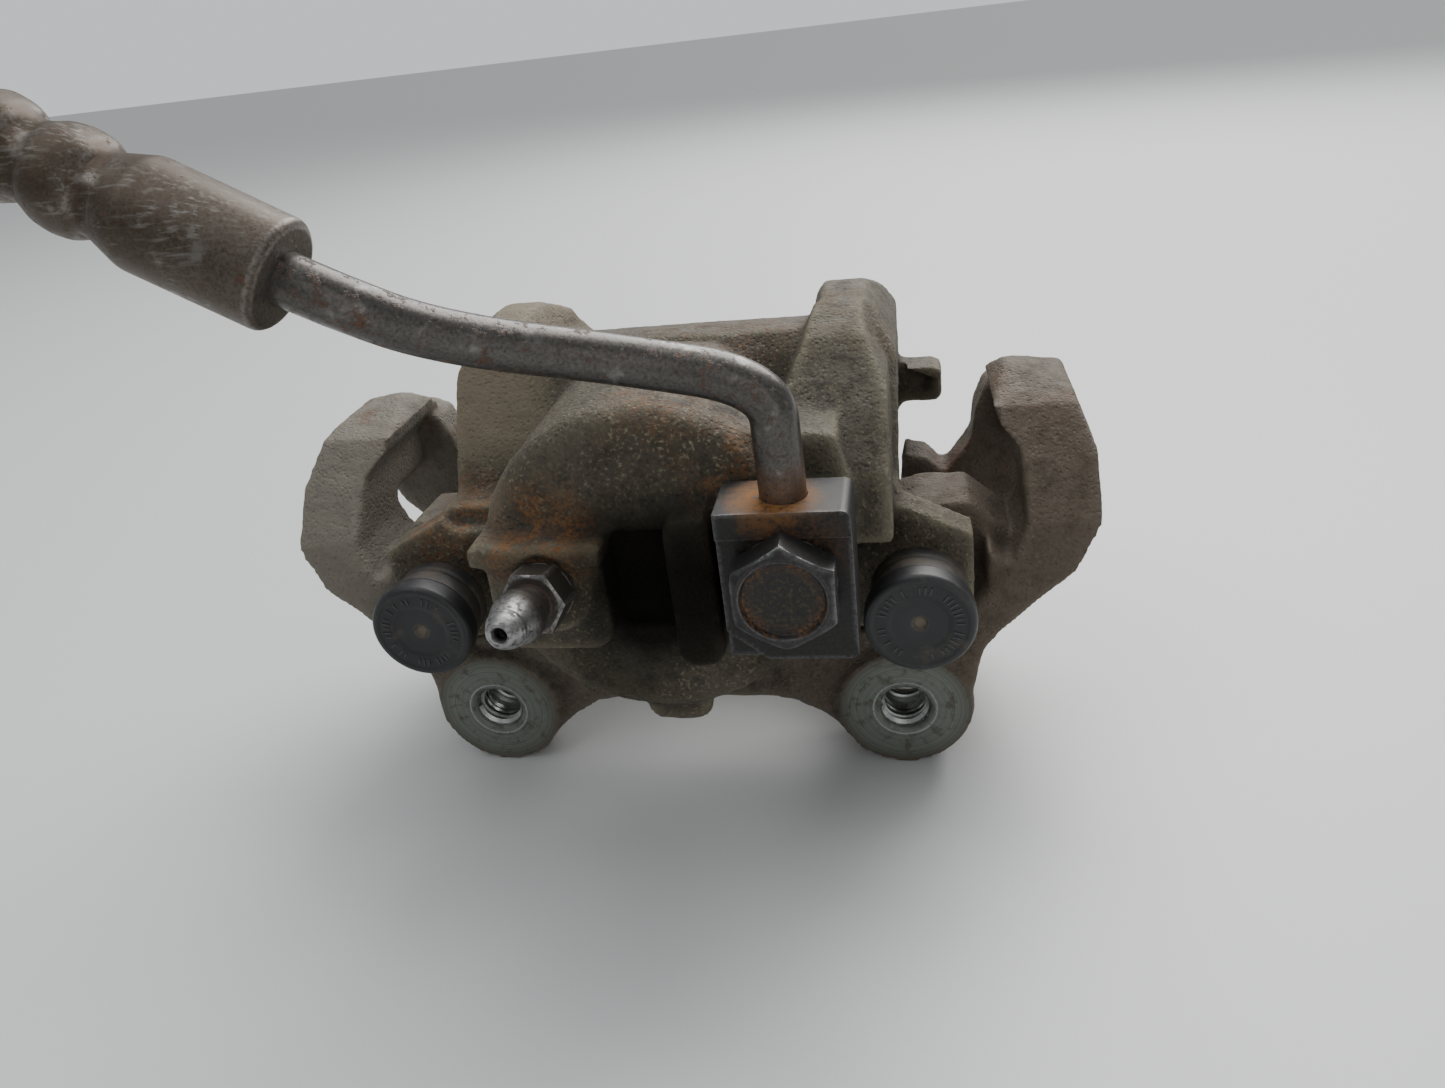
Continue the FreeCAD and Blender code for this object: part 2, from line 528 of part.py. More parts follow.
# ---------------------------------------------------------------- hose connection
def make_block():
    x0, x1 = BLOCK_X - BLOCK_W / 2, BLOCK_X + BLOCK_W / 2
    z0, z1 = BLOCK_Z - BLOCK_LOW, BLOCK_Z + BLOCK_HIGH
    body = box(x0, x1, SPOT_Y - BLOCK_LIP, SEAT_BLOCK_Y, z0, z1)
    body = rounded(body, 1.6, lambda e: along_y(e) and e.Vertexes[0].X > BLOCK_X)
    # the spot face leaves a raised lip along the top
    body = body.cut(box(x0 - 1, x1 + 1, SPOT_Y - BLOCK_LIP - 1, SPOT_Y, z0 - 1,
                        z1 - BLOCK_LIP_HIGH))
    # bevel at the lower left corner
    bevel = face_of([V(x0 - 0.1, SPOT_Y - 0.1, z0 + 6), V(x0 - 0.1, SPOT_Y - 0.1, z0 - 0.1),
                     V(x0 + 7, SPOT_Y - 0.1, z0 - 0.1)]).extrude(V(0, 1.5, 0))
    body = body.cut(bevel)
    body = body.cut(cyl_y(BOLT_DIA / 2 + 0.3, BLOCK_X, BLOCK_Z, SPOT_Y - 5, SEAT_BLOCK_Y + 1))
    body = body.cut(cyl_y(BOLT_DIA / 2 + 1.4, BLOCK_X, BLOCK_Z, PIPE_Y - 2.5, PIPE_Y + 2.5))
    # socket of the pipe and the drilling down to the bolt
    top = V(BLOCK_X, PIPE_Y, z1 - PIPE_SOCKET)
    body = body.cut(Part.makeCylinder(PIPE_DIA / 2, PIPE_SOCKET + 1, top, V(0, 0, 1)))
    return body.cut(Part.makeCylinder(1.7, 8, top - V(0, 0, 6), V(0, 0, 1)))


def make_washer(y0):
    ring = cyl_y(WASHER_DIA / 2, BLOCK_X, BLOCK_Z, y0, y0 + WASHER_T)
    return ring.cut(cyl_y(BOLT_DIA / 2 + 0.15, BLOCK_X, BLOCK_Z, y0 - 1, y0 + WASHER_T + 1))


def make_hose_bolt():
    top = HEAD_Y - BOLT_HEAD
    head = hex_y(BOLT_AF, BLOCK_X, BLOCK_Z, top, HEAD_Y, turn=30)
    crown = cone_y(BOLT_AF / 2 - 0.3, BOLT_AF / 2 + 1.6, BLOCK_X, BLOCK_Z, top, top + 1.6)
    crown = crown.fuse(cyl_y(BOLT_AF, BLOCK_X, BLOCK_Z, top + 1.6, HEAD_Y))
    head = head.common(crown)
    head = head.cut(cyl_y(6.6, BLOCK_X, BLOCK_Z, top - 1, top + 0.8))
    bolt = head.fuse(cyl_y(BOLT_DIA / 2, BLOCK_X, BLOCK_Z, HEAD_Y, -6))
    bolt = bolt.cut(cyl_y(2.0, BLOCK_X, BLOCK_Z, PIPE_Y - 2, -4))
    cross = Part.makeCylinder(1.5, 16, V(BLOCK_X - 8, PIPE_Y, BLOCK_Z), V(1, 0, 0))
    return bolt.cut(cross).removeSplitter()


def ferrule_axis():
    start, way = V(*FERRULE_START), V(*FERRULE_WAY).normalize()
    return start, way


def make_pipe():
    start, way = ferrule_axis()
    inside = start + way * (FERRULE_LEN - HOSE_SOCKET)
    route = PIPE_ROUTE[:-1] + [(start.x, start.y, start.z), (inside.x, inside.y, inside.z)]
    solid, _ = tube(route, PIPE_DIA / 2)
    hole, _ = tube(route, PIPE_DIA / 2 - PIPE_WALL)
    return solid.cut(hole)


def turned(outline, start, way):
    """Turn an (s, radius) outline about the axis that starts at start along way."""
    face = face_of([V(r, 0, s) for s, r in outline])
    solid = face.revolve(V(0, 0, 0), V(0, 0, 1), 360)
    solid.Placement = FreeCAD.Placement(start, FreeCAD.Rotation(V(0, 0, 1), way))
    return solid


def make_ferrule():
    start, way = ferrule_axis()
    r = FERRULE_DIA / 2
    hose = HOSE_DIA / 2
    pipe = PIPE_DIA / 2
    n = FERRULE_LEN
    deep = n - HOSE_SOCKET
    profile = [(0, pipe), (0, r - 0.8), (0.8, r), (21, r), (23.5, r - 1.6), (25.5, r - 1.9),
               (27.5, r - 0.9), (32.5, r - 0.7), (34.5, r - 1.9), (37, r - 2.2), (39, r - 1.1),
               (43, r - 0.8), (45, r - 1.9), (n - 1, r - 1.6), (n, r - 2.2), (n, hose),
               (deep, hose), (deep, pipe)]
    return turned(profile, start, way)


def bend_radii(wire):
    return [round(e.Curve.Radius, 1) for e in wire.Edges if isinstance(e.Curve, Part.Circle)]


def end_axis():
    a, b = V(*HOSE_ROUTE[-2]), V(*HOSE_ROUTE[-1])
    return b, (b - a).normalize()


def make_end_ferrule():
    """Crimped sleeve over the last of the hose."""
    start, way = end_axis()
    r, hose, n = END_FERRULE_DIA / 2, HOSE_DIA / 2, END_FERRULE_LEN
    profile = [(-n, hose), (-n, r - 0.6), (-n + 0.6, r), (-13, r), (-11.5, r - 0.9), (-10, r),
               (-6, r), (-4.5, r - 0.9), (-3, r), (2, r), (2, 0), (0, 0), (0, hose)]
    return turned(profile, start, way)


def make_end_nut():
    start, way = end_axis()
    flat = V(0, 0, 1).cross(way).normalize()
    up = way.cross(flat)
    corner = END_NUT_AF / math.sqrt(3)
    pts = [start + way * 2 + (flat * math.cos(math.radians(60 * i))
                              + up * math.sin(math.radians(60 * i))) * corner for i in range(6)]
    nut = face_of(pts).extrude(way * 8)
    r, tip = END_STUD_DIA / 2, 10 + END_STUD_LEN
    stud = turned([(10, 0), (10, r), (tip - 1, r), (tip, r - 0.8), (tip, 0)], start, way)
    bore = turned([(6, 0), (6, 1.6), (tip + 1, 1.6), (tip + 1, 0)], start, way)
    return nut.fuse(stud).cut(bore).removeSplitter()


# ---------------------------------------------------------------- build
save(make_carrier(), "carrier_bracket")
save(make_housing(), "caliper_housing")
for side, x in (("left", -PIN_X), ("right", PIN_X)):
    save(make_pin(x), "guide_pin_" + side)
    save(make_bush(x), "guide_bush_" + side)
    save(make_cap(x), "dust_cap_" + side)
save(make_piston(), "piston")
save(make_seal(), "piston_seal")
save(make_boot(), "piston_boot")
save(make_boot_ring(), "boot_ring")
save(make_bleeder(), "bleeder_screw")
save(make_block(), "hose_block")
save(make_hose_bolt(), "hose_bolt")
save(make_washer(SEAT_BLOCK_Y), "seal_washer_inner")
save(make_washer(HEAD_Y), "seal_washer_outer")
save(make_pipe(), "brake_pipe")
save(make_ferrule(), "hose_ferrule")
hose, hose_line = tube(HOSE_ROUTE, HOSE_DIA / 2)
save(hose, "brake_hose")
save(make_end_ferrule(), "hose_end_ferrule")
save(make_end_nut(), "hose_end_nut")
print("hose length %.1f mm, bend radii %s" % (hose_line.Length, bend_radii(hose_line)))
print("hose volume / section %.1f mm" % (hose.Volume / (math.pi * HOSE_DIA ** 2 / 4)))
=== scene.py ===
import json
import math

import bmesh
import bpy
import numpy as np
from mathutils import Matrix, Vector


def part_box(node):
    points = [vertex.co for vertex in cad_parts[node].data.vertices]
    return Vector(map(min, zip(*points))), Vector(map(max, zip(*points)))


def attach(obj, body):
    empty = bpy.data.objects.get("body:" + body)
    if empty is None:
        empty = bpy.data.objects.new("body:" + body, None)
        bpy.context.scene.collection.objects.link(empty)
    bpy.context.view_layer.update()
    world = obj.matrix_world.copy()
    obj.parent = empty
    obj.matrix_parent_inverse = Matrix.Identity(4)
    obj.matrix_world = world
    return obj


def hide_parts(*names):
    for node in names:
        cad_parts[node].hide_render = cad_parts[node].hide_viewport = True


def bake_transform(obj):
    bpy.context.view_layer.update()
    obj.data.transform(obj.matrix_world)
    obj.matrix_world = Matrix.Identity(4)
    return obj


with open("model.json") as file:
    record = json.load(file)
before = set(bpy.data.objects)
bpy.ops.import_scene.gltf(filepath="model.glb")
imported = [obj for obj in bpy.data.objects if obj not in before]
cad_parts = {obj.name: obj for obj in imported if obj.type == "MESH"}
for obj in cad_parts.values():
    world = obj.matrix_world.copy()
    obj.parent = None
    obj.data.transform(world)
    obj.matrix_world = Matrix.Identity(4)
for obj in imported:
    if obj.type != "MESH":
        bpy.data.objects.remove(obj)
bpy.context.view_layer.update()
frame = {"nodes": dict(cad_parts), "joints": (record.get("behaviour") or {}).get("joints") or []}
scene = bpy.context.scene

# ------------------------------------------------------------------ studio
# The caliper stands on its mounting ears on a plain pale bench. Wide daylight and a window
# light it from above and behind, and a ceiling light and a weak fill soften its front.
MM = 0.001
EYE = Vector((49.3, -183.4, 139.6)) * MM
TURN, TILT, ROLL = math.radians(-11.8), math.radians(27.7), math.radians(7.28)
LENS, SENSOR = 26.16, 36
BENCH_Z, BENCH_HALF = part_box("carrier_bracket")[0].z, 4
LAMPS_AIM = Vector((0, 0, 0.03))
SUN_POWER, SUN_WIDTH = 1.1, math.radians(70)
ROOM_ON_PIECE, ROOM_SEEN = 0.36, 0.85


def feed(tree, socket, value):
    """Join a socket to another, or set its own value."""
    if isinstance(value, bpy.types.NodeSocket):
        tree.links.new(value, socket)
    elif socket.type == "RGBA" and len(value) == 3:
        socket.default_value = (*value, 1.0)
    else:
        socket.default_value = value


def add(tree, kind, *inputs, settings=None, **named):
    """Add a node: its plain inputs in order, then those given by name."""
    made = tree.nodes.new(kind)
    for key, value in (settings or {}).items():
        setattr(made, key, value)
    for socket, value in zip(made.inputs, inputs):
        if value is not None:
            feed(tree, socket, value)
    for key, value in named.items():
        feed(tree, made.inputs[key.replace("_", " ")], value)
    return made


def new_material(name):
    """An empty Principled material: (material, tree, shader)."""
    material = bpy.data.materials.new(name)
    material.use_nodes = True
    tree = material.node_tree
    return material, tree, tree.nodes["Principled BSDF"]


def stand(name, data):
    """Put a mesh, curve, lamp or camera in the scene."""
    made = bpy.data.objects.new(name, data)
    scene.collection.objects.link(made)
    return made


def lay_bench():
    mesh = bpy.data.meshes.new("bench")
    mesh.from_pydata([(x * BENCH_HALF, y * BENCH_HALF, BENCH_Z)
                      for x, y in ((-1, -1), (1, -1), (1, 1), (-1, 1))], [], [(0, 1, 2, 3)])
    material, _, shader = new_material("pale_bench")
    shader.inputs["Base Color"].default_value = (0.62, 0.63, 0.63, 1)
    shader.inputs["Roughness"].default_value = 0.42
    mesh.materials.append(material)
    stand("bench", mesh)


def hang_lamp(name, spot, size, power, colour):
    """A square soft lamp that faces the caliper."""
    data = bpy.data.lights.new(name, "AREA")
    data.size = size
    data.energy = power
    data.color = colour
    lamp = stand(name, data)
    lamp.location = spot
    lamp.rotation_euler = (LAMPS_AIM - Vector(spot)).to_track_quat("-Z", "Y").to_euler()


def set_camera():
    forward = Vector((math.sin(TURN) * math.cos(TILT), math.cos(TURN) * math.cos(TILT),
                      -math.sin(TILT)))
    data = bpy.data.cameras.new("camera")
    data.lens = LENS
    data.sensor_width = SENSOR
    data.clip_start = 0.01
    turn = forward.to_track_quat("-Z", "Y").to_matrix() @ Matrix.Rotation(-ROLL, 3, "Z")
    scene.camera = stand("camera", data)
    scene.camera.matrix_world = Matrix.Translation(EYE) @ turn.to_4x4()


set_camera()
lay_bench()
hang_lamp("window", (0.25, 0.75, 0.75), 0.9, 15, (1.0, 0.99, 0.97))
hang_lamp("ceiling", (-0.3, -0.25, 0.9), 0.7, 3, (0.97, 0.99, 1.0))
hang_lamp("fill", (0.35, -0.7, 0.35), 0.6, 0.8, (1.0, 0.98, 0.96))
daylight = bpy.data.lights.new("daylight", "SUN")
daylight.energy = SUN_POWER
daylight.angle = SUN_WIDTH
stand("daylight", daylight).rotation_euler = (math.radians(-32), math.radians(12), 0)
# the room is dim to the object, and as pale as the bench where it is seen behind it
scene.world = bpy.data.worlds.new("room")
scene.world.use_nodes = True
room = scene.world.node_tree
background = room.nodes["Background"]
background.inputs["Color"].default_value = (0.86, 0.89, 0.91, 1)
looked_at = room.nodes.new("ShaderNodeLightPath").outputs["Is Camera Ray"]
level = add(room, "ShaderNodeMapRange", looked_at, To_Min=ROOM_ON_PIECE, To_Max=ROOM_SEEN)
room.links.new(level.outputs[0], background.inputs["Strength"])


# ------------------------------------------------------------------ hose end fitting
# The far end of the hose: a steel sleeve crimped over the rubber, and a union with a
# hexagon and a threaded stud. Both are turned from bar and zinc plated.
HOSE_DIA = 10.5 * MM
HOSE_ROUTE = [Vector(p) * MM for p in [
    (-71.7, -46.9, 131.2), (-99.7, -46.1, 146.6), (-131.6, -49.8, 144.5),
    (-156.7, -56.9, 125.5), (-168.3, -66.2, 96.5), (-170.5, -77.1, 65.8),
    (-163.9, -88.8, 35.8), (-148.3, -100.3, 9.2), (-123.8, -112.1, -8.7),
    (-93.3, -122.0, -9.2), (-61.4, -125.4, -8.9), (-29.4, -126.0, -5.2)]]
HOSE_END = HOSE_ROUTE[-1]
HOSE_END_WAY = (HOSE_ROUTE[-1] - HOSE_ROUTE[-2]).normalized()
END_SLEEVE_R = 7.0
END_NUT_AF = 14.0
END_STUD_R = 5.0
THREAD_PITCH = 1.0
NEARLY_STRAIGHT = 0.12
NEARLY_FLAT = 0.09
WELD = 2e-6


def eased(outline, size=0.25):
    """Break each corner of an outline with a small arc, as a tool or a mould leaves it."""
    points = [Vector(p) for p in outline]
    smooth = [points[0]]
    for a, b, c in zip(points, points[1:], points[2:]):
        into, away = (b - a).normalized(), (c - b).normalized()
        if into.angle(away) < NEARLY_STRAIGHT:
            smooth.append(b)
            continue
        cut = min(size, 0.42 * (b - a).length, 0.42 * (c - b).length)
        start, stop = b - into * cut, b + away * cut
        for t in (0, 1 / 3, 2 / 3, 1):
            smooth.append(start * (1 - t) ** 2 + b * 2 * t * (1 - t) + stop * t * t)
    smooth.append(points[-1])
    return smooth


def eased_loop(outline, size=0.25):
    """The same for an outline that closes on itself. It starts in the middle of a side."""
    return eased(outline + outline[:1], size)[:-1]


def hexagon(across, low, high, clock=0.0):
    """Radius rule of a hexagon between two stations: flats cut into the turned blank."""
    def rule(s, r, angle):
        if not low <= s <= high:
            return r
        off = (angle + clock) % (math.pi / 3) - math.pi / 6
        return min(r, across / 2 / math.cos(off))
    return rule


def edge_marks(mesh, rounds=1, full=0.5):
    """Store how far each point stands on an outer edge or in an inner corner, from 0 to 1."""
    bm = bmesh.new()
    bm.from_mesh(mesh)
    count = len(bm.verts)
    outer, inner = np.zeros(count), np.zeros(count)
    ends = np.array([(e.verts[0].index, e.verts[1].index) for e in bm.edges])
    bend = np.array([e.calc_face_angle_signed(0.0) for e in bm.edges])
    bm.free()
    for side in (0, 1):
        for values, way in ((outer, 1), (inner, -1)):
            np.maximum.at(values, ends[:, side],
                          np.clip(bend * way - NEARLY_FLAT, 0, full) / full)
    reach = np.bincount(ends.ravel(), minlength=count) + 1.0
    for _ in range(rounds):
        for values in (outer, inner):
            spread = values.copy()
            np.add.at(spread, ends[:, 0], values[ends[:, 1]])
            np.add.at(spread, ends[:, 1], values[ends[:, 0]])
            values[:] = spread / reach
    for name, values in (("edge", outer), ("hollow", inner)):
        layer = mesh.attributes.new(name, "FLOAT", "POINT")
        layer.data.foreach_set("value", values.astype(np.float32))


def finish_mesh(mesh, sharp=38):
    """Merge doubles, point the faces outwards and shade smooth across shallow edges."""
    bm = bmesh.new()
    bm.from_mesh(mesh)
    bmesh.ops.remove_doubles(bm, verts=bm.verts, dist=WELD)
    bmesh.ops.recalc_face_normals(bm, faces=bm.faces)
    bm.to_mesh(mesh)
    bm.free()
    mesh.shade_smooth()
    mesh.set_sharp_from_angle(angle=math.radians(sharp))


def turned(name, outline, start, way, rule=None, sides=96, closed=False):
    """Mesh turned from an outline of (distance along, radius) in mm about start and way."""
    way = Vector(way).normalized()
    side = Vector((0, 0, 1)).cross(way).normalized()
    up = way.cross(side)
    rows = []
    for s, r in outline:
        row = []
        for i in range(sides):
            angle = 2 * math.pi * i / sides
            radius = rule(s, r, angle) if rule and r > 0 else r
            row.append(Vector(start) + (way * s + (side * math.cos(angle)
                       + up * math.sin(angle)) * radius) * MM)
        rows.append(row)
    faces = []
    last = len(rows) if closed else len(rows) - 1
    for k in range(last):
        a, b = k * sides, (k + 1) % len(rows) * sides
        for i in range(sides):
            j = (i + 1) % sides
            faces.append((a + i, a + j, b + j, b + i))
    mesh = bpy.data.meshes.new(name)
    mesh.from_pydata([p for row in rows for p in row], [], faces)
    finish_mesh(mesh)
    edge_marks(mesh)
    return mesh


def place(name, mesh, body, material, slot, *nodes):
    """Put a finished mesh in the scene on its body, in place of its CAD nodes."""
    made = stand(name, mesh)
    mesh.materials.clear()
    mesh.materials.append(material)
    if body:
        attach(made, body)
    if nodes:
        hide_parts(*nodes)
    return made


def lathe(name, outline, start, way, body, material, slot, *nodes, **shape):
    """Turn a piece and place it."""
    return place(name, turned(name, outline, start, way, **shape), body, material, slot, *nodes)


def group(name, inputs, outputs, kind="ShaderNodeTree"):
    """A node group with named sockets: (group, its inputs, its output node)."""
    made = bpy.data.node_groups.new(name, kind)
    kinds = {"colour": "NodeSocketColor", "number": "NodeSocketFloat",
             "place": "NodeSocketVector", "count": "NodeSocketInt",
             "shape": "NodeSocketGeometry", "skin": "NodeSocketMaterial"}
    for way, sockets in (("INPUT", inputs), ("OUTPUT", outputs)):
        for label, what in sockets:
            made.interface.new_socket(label, in_out=way, socket_type=kinds[what])
    return made, made.nodes.new("NodeGroupInput").outputs, made.nodes.new("NodeGroupOutput")


def noise(tree, where, size_mm, detail=4.0, rough=0.55):
    """Noise whose lumps are about size_mm across, read at a point."""
    return add(tree, "ShaderNodeTexNoise", Vector=where, Scale=1 / (size_mm * MM),
               Detail=detail, Roughness=rough).outputs["Fac"]


def spread(tree, value, low, high, out_low=0.0, out_high=1.0):
    """Stretch the part of a value from low to high over a new range, and clamp it."""
    return add(tree, "ShaderNodeMapRange", value, low, high, out_low, out_high).outputs[0]


def sums(tree, kind, a, b=0.5):
    return add(tree, "ShaderNodeMath", a, b, settings={"operation": kind}).outputs[0]


def both(tree, *shares):
    """What is left where every one of these masks or amounts has its say: their product."""
    total = shares[0]
    for share in shares[1:]:
        total = sums(tree, "MULTIPLY", total, share)
    return total


def blend(tree, share, a, b, way="MIX"):
    made = tree.nodes.new("ShaderNodeMix")
    made.data_type = "RGBA"
    made.blend_type = way
    feed(tree, made.inputs[0], share)
    feed(tree, made.inputs[6], a)
    feed(tree, made.inputs[7], b)
    return made.outputs[2]


def own_place(tree):
    return add(tree, "ShaderNodeTexCoord").outputs["Object"]


def mark(tree, name):
    return add(tree, "ShaderNodeAttribute", settings={"attribute_name": name}).outputs["Fac"]


def worn_steel_group():
    """Steel under a dark film: the film is gone on edges, and rust has started in spots."""
    tree, given, out = group(
        "worn_steel",
        [("Film", "colour"), ("Bare", "colour"), ("Rust", "colour"), ("Edge", "number"),
         ("Hollow", "number"), ("Wear", "number"), ("Rusting", "number")],
        [("Color", "colour"), ("Metallic", "number"), ("Roughness", "number"),
         ("Height", "number")])
    here = own_place(tree)
    coarse, fine = noise(tree, here, 4.5), noise(tree, here, 0.5, 5)
    edge = both(tree, given["Edge"], spread(tree, fine, 0.3, 0.6, 0.35, 1.6))
    rub = spread(tree, sums(tree, "ADD", coarse, given["Wear"]), 0.62, 0.84)
    bare = add(tree, "ShaderNodeClamp", sums(tree, "MAXIMUM", rub, edge)).outputs[0]
    spots = noise(tree, here, 2.2, 7, 0.68)
    rust = spread(tree, sums(tree, "ADD", spots, given["Rusting"]), 0.66, 0.78)
    rust = sums(tree, "MAXIMUM", rust, both(tree, given["Hollow"],
                                            spread(tree, given["Rusting"], 0.0, 0.2)))
    tone = blend(tree, spread(tree, fine, 0.35, 0.7), given["Film"],
                 blend(tree, 0.12, given["Film"], given["Bare"]))
    tone = blend(tree, bare, tone, given["Bare"])
    tone = blend(tree, rust, tone, blend(tree, spread(tree, fine, 0.4, 0.65), given["Rust"],
                                         blend(tree, 0.75, given["Rust"], (0.02, 0.01, 0.006))))
    feed(tree, out.inputs["Color"], tone)
    clean = sums(tree, "SUBTRACT", 1.0, rust)
    feed(tree, out.inputs["Metallic"],
         both(tree, clean, spread(tree, bare, 0, 1, 0.55, 1.0)))
    shine = sums(tree, "SUBTRACT", spread(tree, fine, 0.3, 0.7, 0.42, 0.56),
                 both(tree, bare, 0.18))
    feed(tree, out.inputs["Roughness"],
         sums(tree, "ADD", shine, both(tree, rust, 0.36)))
    feed(tree, out.inputs["Height"],
         sums(tree, "ADD", both(tree, rust, 0.5),
              both(tree, fine, spread(tree, rust, 0, 1, 0.2, 0.8))))
    return tree


WORN_STEEL = worn_steel_group()
RUST_BROWN = (0.115, 0.042, 0.014)


def finish(name, skin, depth, strength, **values):
    """A material that wears a finish group: (material, tree, shader, bump node)."""
    material, tree, shader = new_material(name)
    face = tree.nodes.new("ShaderNodeGroup")
    face.node_tree = skin
    values.update(Edge=mark(tree, "edge"), Hollow=mark(tree, "hollow"))
    for label, value in values.items():
        feed(tree, face.inputs[label], value)
    for label, target in (("Color", "Base Color"), ("Metallic", "Metallic"),
                          ("Roughness", "Roughness")):
        if label in face.outputs:
            tree.links.new(face.outputs[label], shader.inputs[target])
    bump = add(tree, "ShaderNodeBump", Height=face.outputs["Height"], Distance=depth * MM,
               Strength=strength)
    tree.links.new(bump.outputs[0], shader.inputs["Normal"])
    return material, tree, shader, bump


def steel(name, film, bare, wear, rusting, rust=RUST_BROWN, depth=0.12):
    """A worn steel finish: (material, tree, shader)."""
    return finish(name, WORN_STEEL, depth, 0.7, Film=film, Bare=bare, Rust=rust, Wear=wear,
                  Rusting=rusting)[:3]


def growing_group(name, inputs):
    """A Geometry Nodes tree with named inputs: (tree, its inputs, its output node)."""
    shape = [("Geometry", "shape")]
    return group(name, shape + inputs, shape, "GeometryNodeTree")


def coat(tree, out, shape, material):
    """End a growing tree: real geometry in its material."""
    whole = add(tree, "GeometryNodeRealizeInstances", shape.outputs[0])
    coated = add(tree, "GeometryNodeSetMaterial", Geometry=whole.outputs[0], Material=material)
    tree.links.new(coated.outputs[0], out.inputs[0])
    return tree


def thread_tree():
    """A screw thread: a diamond section swept along a helix, with its pitch and length."""
    tree, given, out = growing_group(
        "cut_thread", [("Radius", "number"), ("Pitch", "number"), ("Turns", "number"),
                       ("Metal", "skin")])
    helix = add(tree, "GeometryNodeCurveSpiral", Resolution=64, Rotations=given["Turns"],
                Start_Radius=given["Radius"], End_Radius=given["Radius"],
                Height=both(tree, given["Pitch"], given["Turns"]))
    section = add(tree, "GeometryNodeCurvePrimitiveCircle", Resolution=4,
                  Radius=both(tree, given["Pitch"], 0.46))
    swept = add(tree, "GeometryNodeCurveToMesh", Curve=helix.outputs[0],
                Profile_Curve=section.outputs[0], Fill_Caps=True)
    return coat(tree, out, swept, given["Metal"])


def worked(block, **layers):
    """The plain mesh that an object's modifiers make of it. The object goes."""
    graph = bpy.context.evaluated_depsgraph_get()
    mesh = bpy.data.meshes.new_from_object(block.evaluated_get(graph), depsgraph=graph, **layers)
    bpy.data.objects.remove(block)
    return mesh


def grown(tree, carrier_mesh, **values):
    """The mesh that a Geometry Nodes tree makes with these named inputs."""
    seed = stand("seed", carrier_mesh)
    modifier = seed.modifiers.new("grow", "NODES")
    modifier.node_group = tree
    labels = {key.replace("_", " "): value for key, value in values.items()}
    for item in tree.interface.items_tree:
        if item.item_type == "SOCKET" and item.in_out == "INPUT" and item.name in labels:
            modifier[item.identifier] = labels[item.name]
    return worked(seed, preserve_all_data_layers=True)


CUT_THREAD = thread_tree()


def thread(name, radius, pitch, turns, start, way, material):
    """Thread ridges from start along way; radius is the middle of the ridges, all in mm."""
    mesh = grown(CUT_THREAD, bpy.data.meshes.new(name), Radius=radius * MM, Pitch=pitch * MM,
                 Turns=turns, Metal=material)
    turn = Vector(way).normalized().to_track_quat("Z", "Y").to_matrix().to_4x4()
    mesh.transform(Matrix.Translation(start) @ turn)
    finish_mesh(mesh, sharp=50)
    edge_marks(mesh, rounds=0)
    mesh.name = name
    return mesh


plated = steel("plated_fitting", (0.30, 0.27, 0.20), (0.62, 0.61, 0.58), 0.05, -0.01)[0]
r, n = END_SLEEVE_R, 18
sleeve = eased([(-n, 5.2), (-n, r - 0.6), (-n + 0.8, r), (-13.4, r), (-12.4, r - 0.9),
                (-10.6, r - 0.9), (-9.6, r), (-6.4, r), (-5.4, r - 0.9), (-3.6, r - 0.9),
                (-2.6, r), (2, r), (2, 0)], 0.4)


def end_crimps(s, r, angle):
    """Eight jaws have pressed the two bands of the sleeve."""
    pressed = -12.6 < s < -10.4 or -5.6 < s < -3.4
    return r - 0.22 * abs(math.cos(4 * angle)) if pressed else r


hose_end_sleeve = lathe("hose_end_sleeve", sleeve, HOSE_END, HOSE_END_WAY, "caliper", plated,
                        "ferrule_steel", "hose_end_ferrule", rule=end_crimps)
union = eased([(2, 0), (2, 6.6), (2.9, 8.4), (9.1, 8.4), (10, 6.8), (10, 4.4), (20, 4.4),
               (21.5, 3.6), (21.5, 1.6), (7, 1.6), (7, 0)], 0.3)
hose_end_union = lathe("hose_end_union", union, HOSE_END, HOSE_END_WAY, "caliper", plated,
                       "fitting_steel", "hose_end_nut", rule=hexagon(END_NUT_AF, 1.5, 10.2))
union_thread = place("hose_end_thread",
                     thread("hose_end_thread", END_STUD_R - 0.42, THREAD_PITCH, 8.6,
                            HOSE_END + HOSE_END_WAY * 11.6 * MM, HOSE_END_WAY, plated),
                     "caliper", plated, "fitting_steel")


# ------------------------------------------------------------------ flexible hose
# Reinforced rubber brake hose. It leaves the long ferrule, bends over under its own weight
# and down, and lies along the bench in front. The cover is moulded, matt and dusty.
FERRULE_START = Vector((-36.0, -48.0, 111.0)) * MM
FERRULE_WAY = Vector((-0.870, 0.026, 0.492)).normalized()
FERRULE_LEN = 49.0


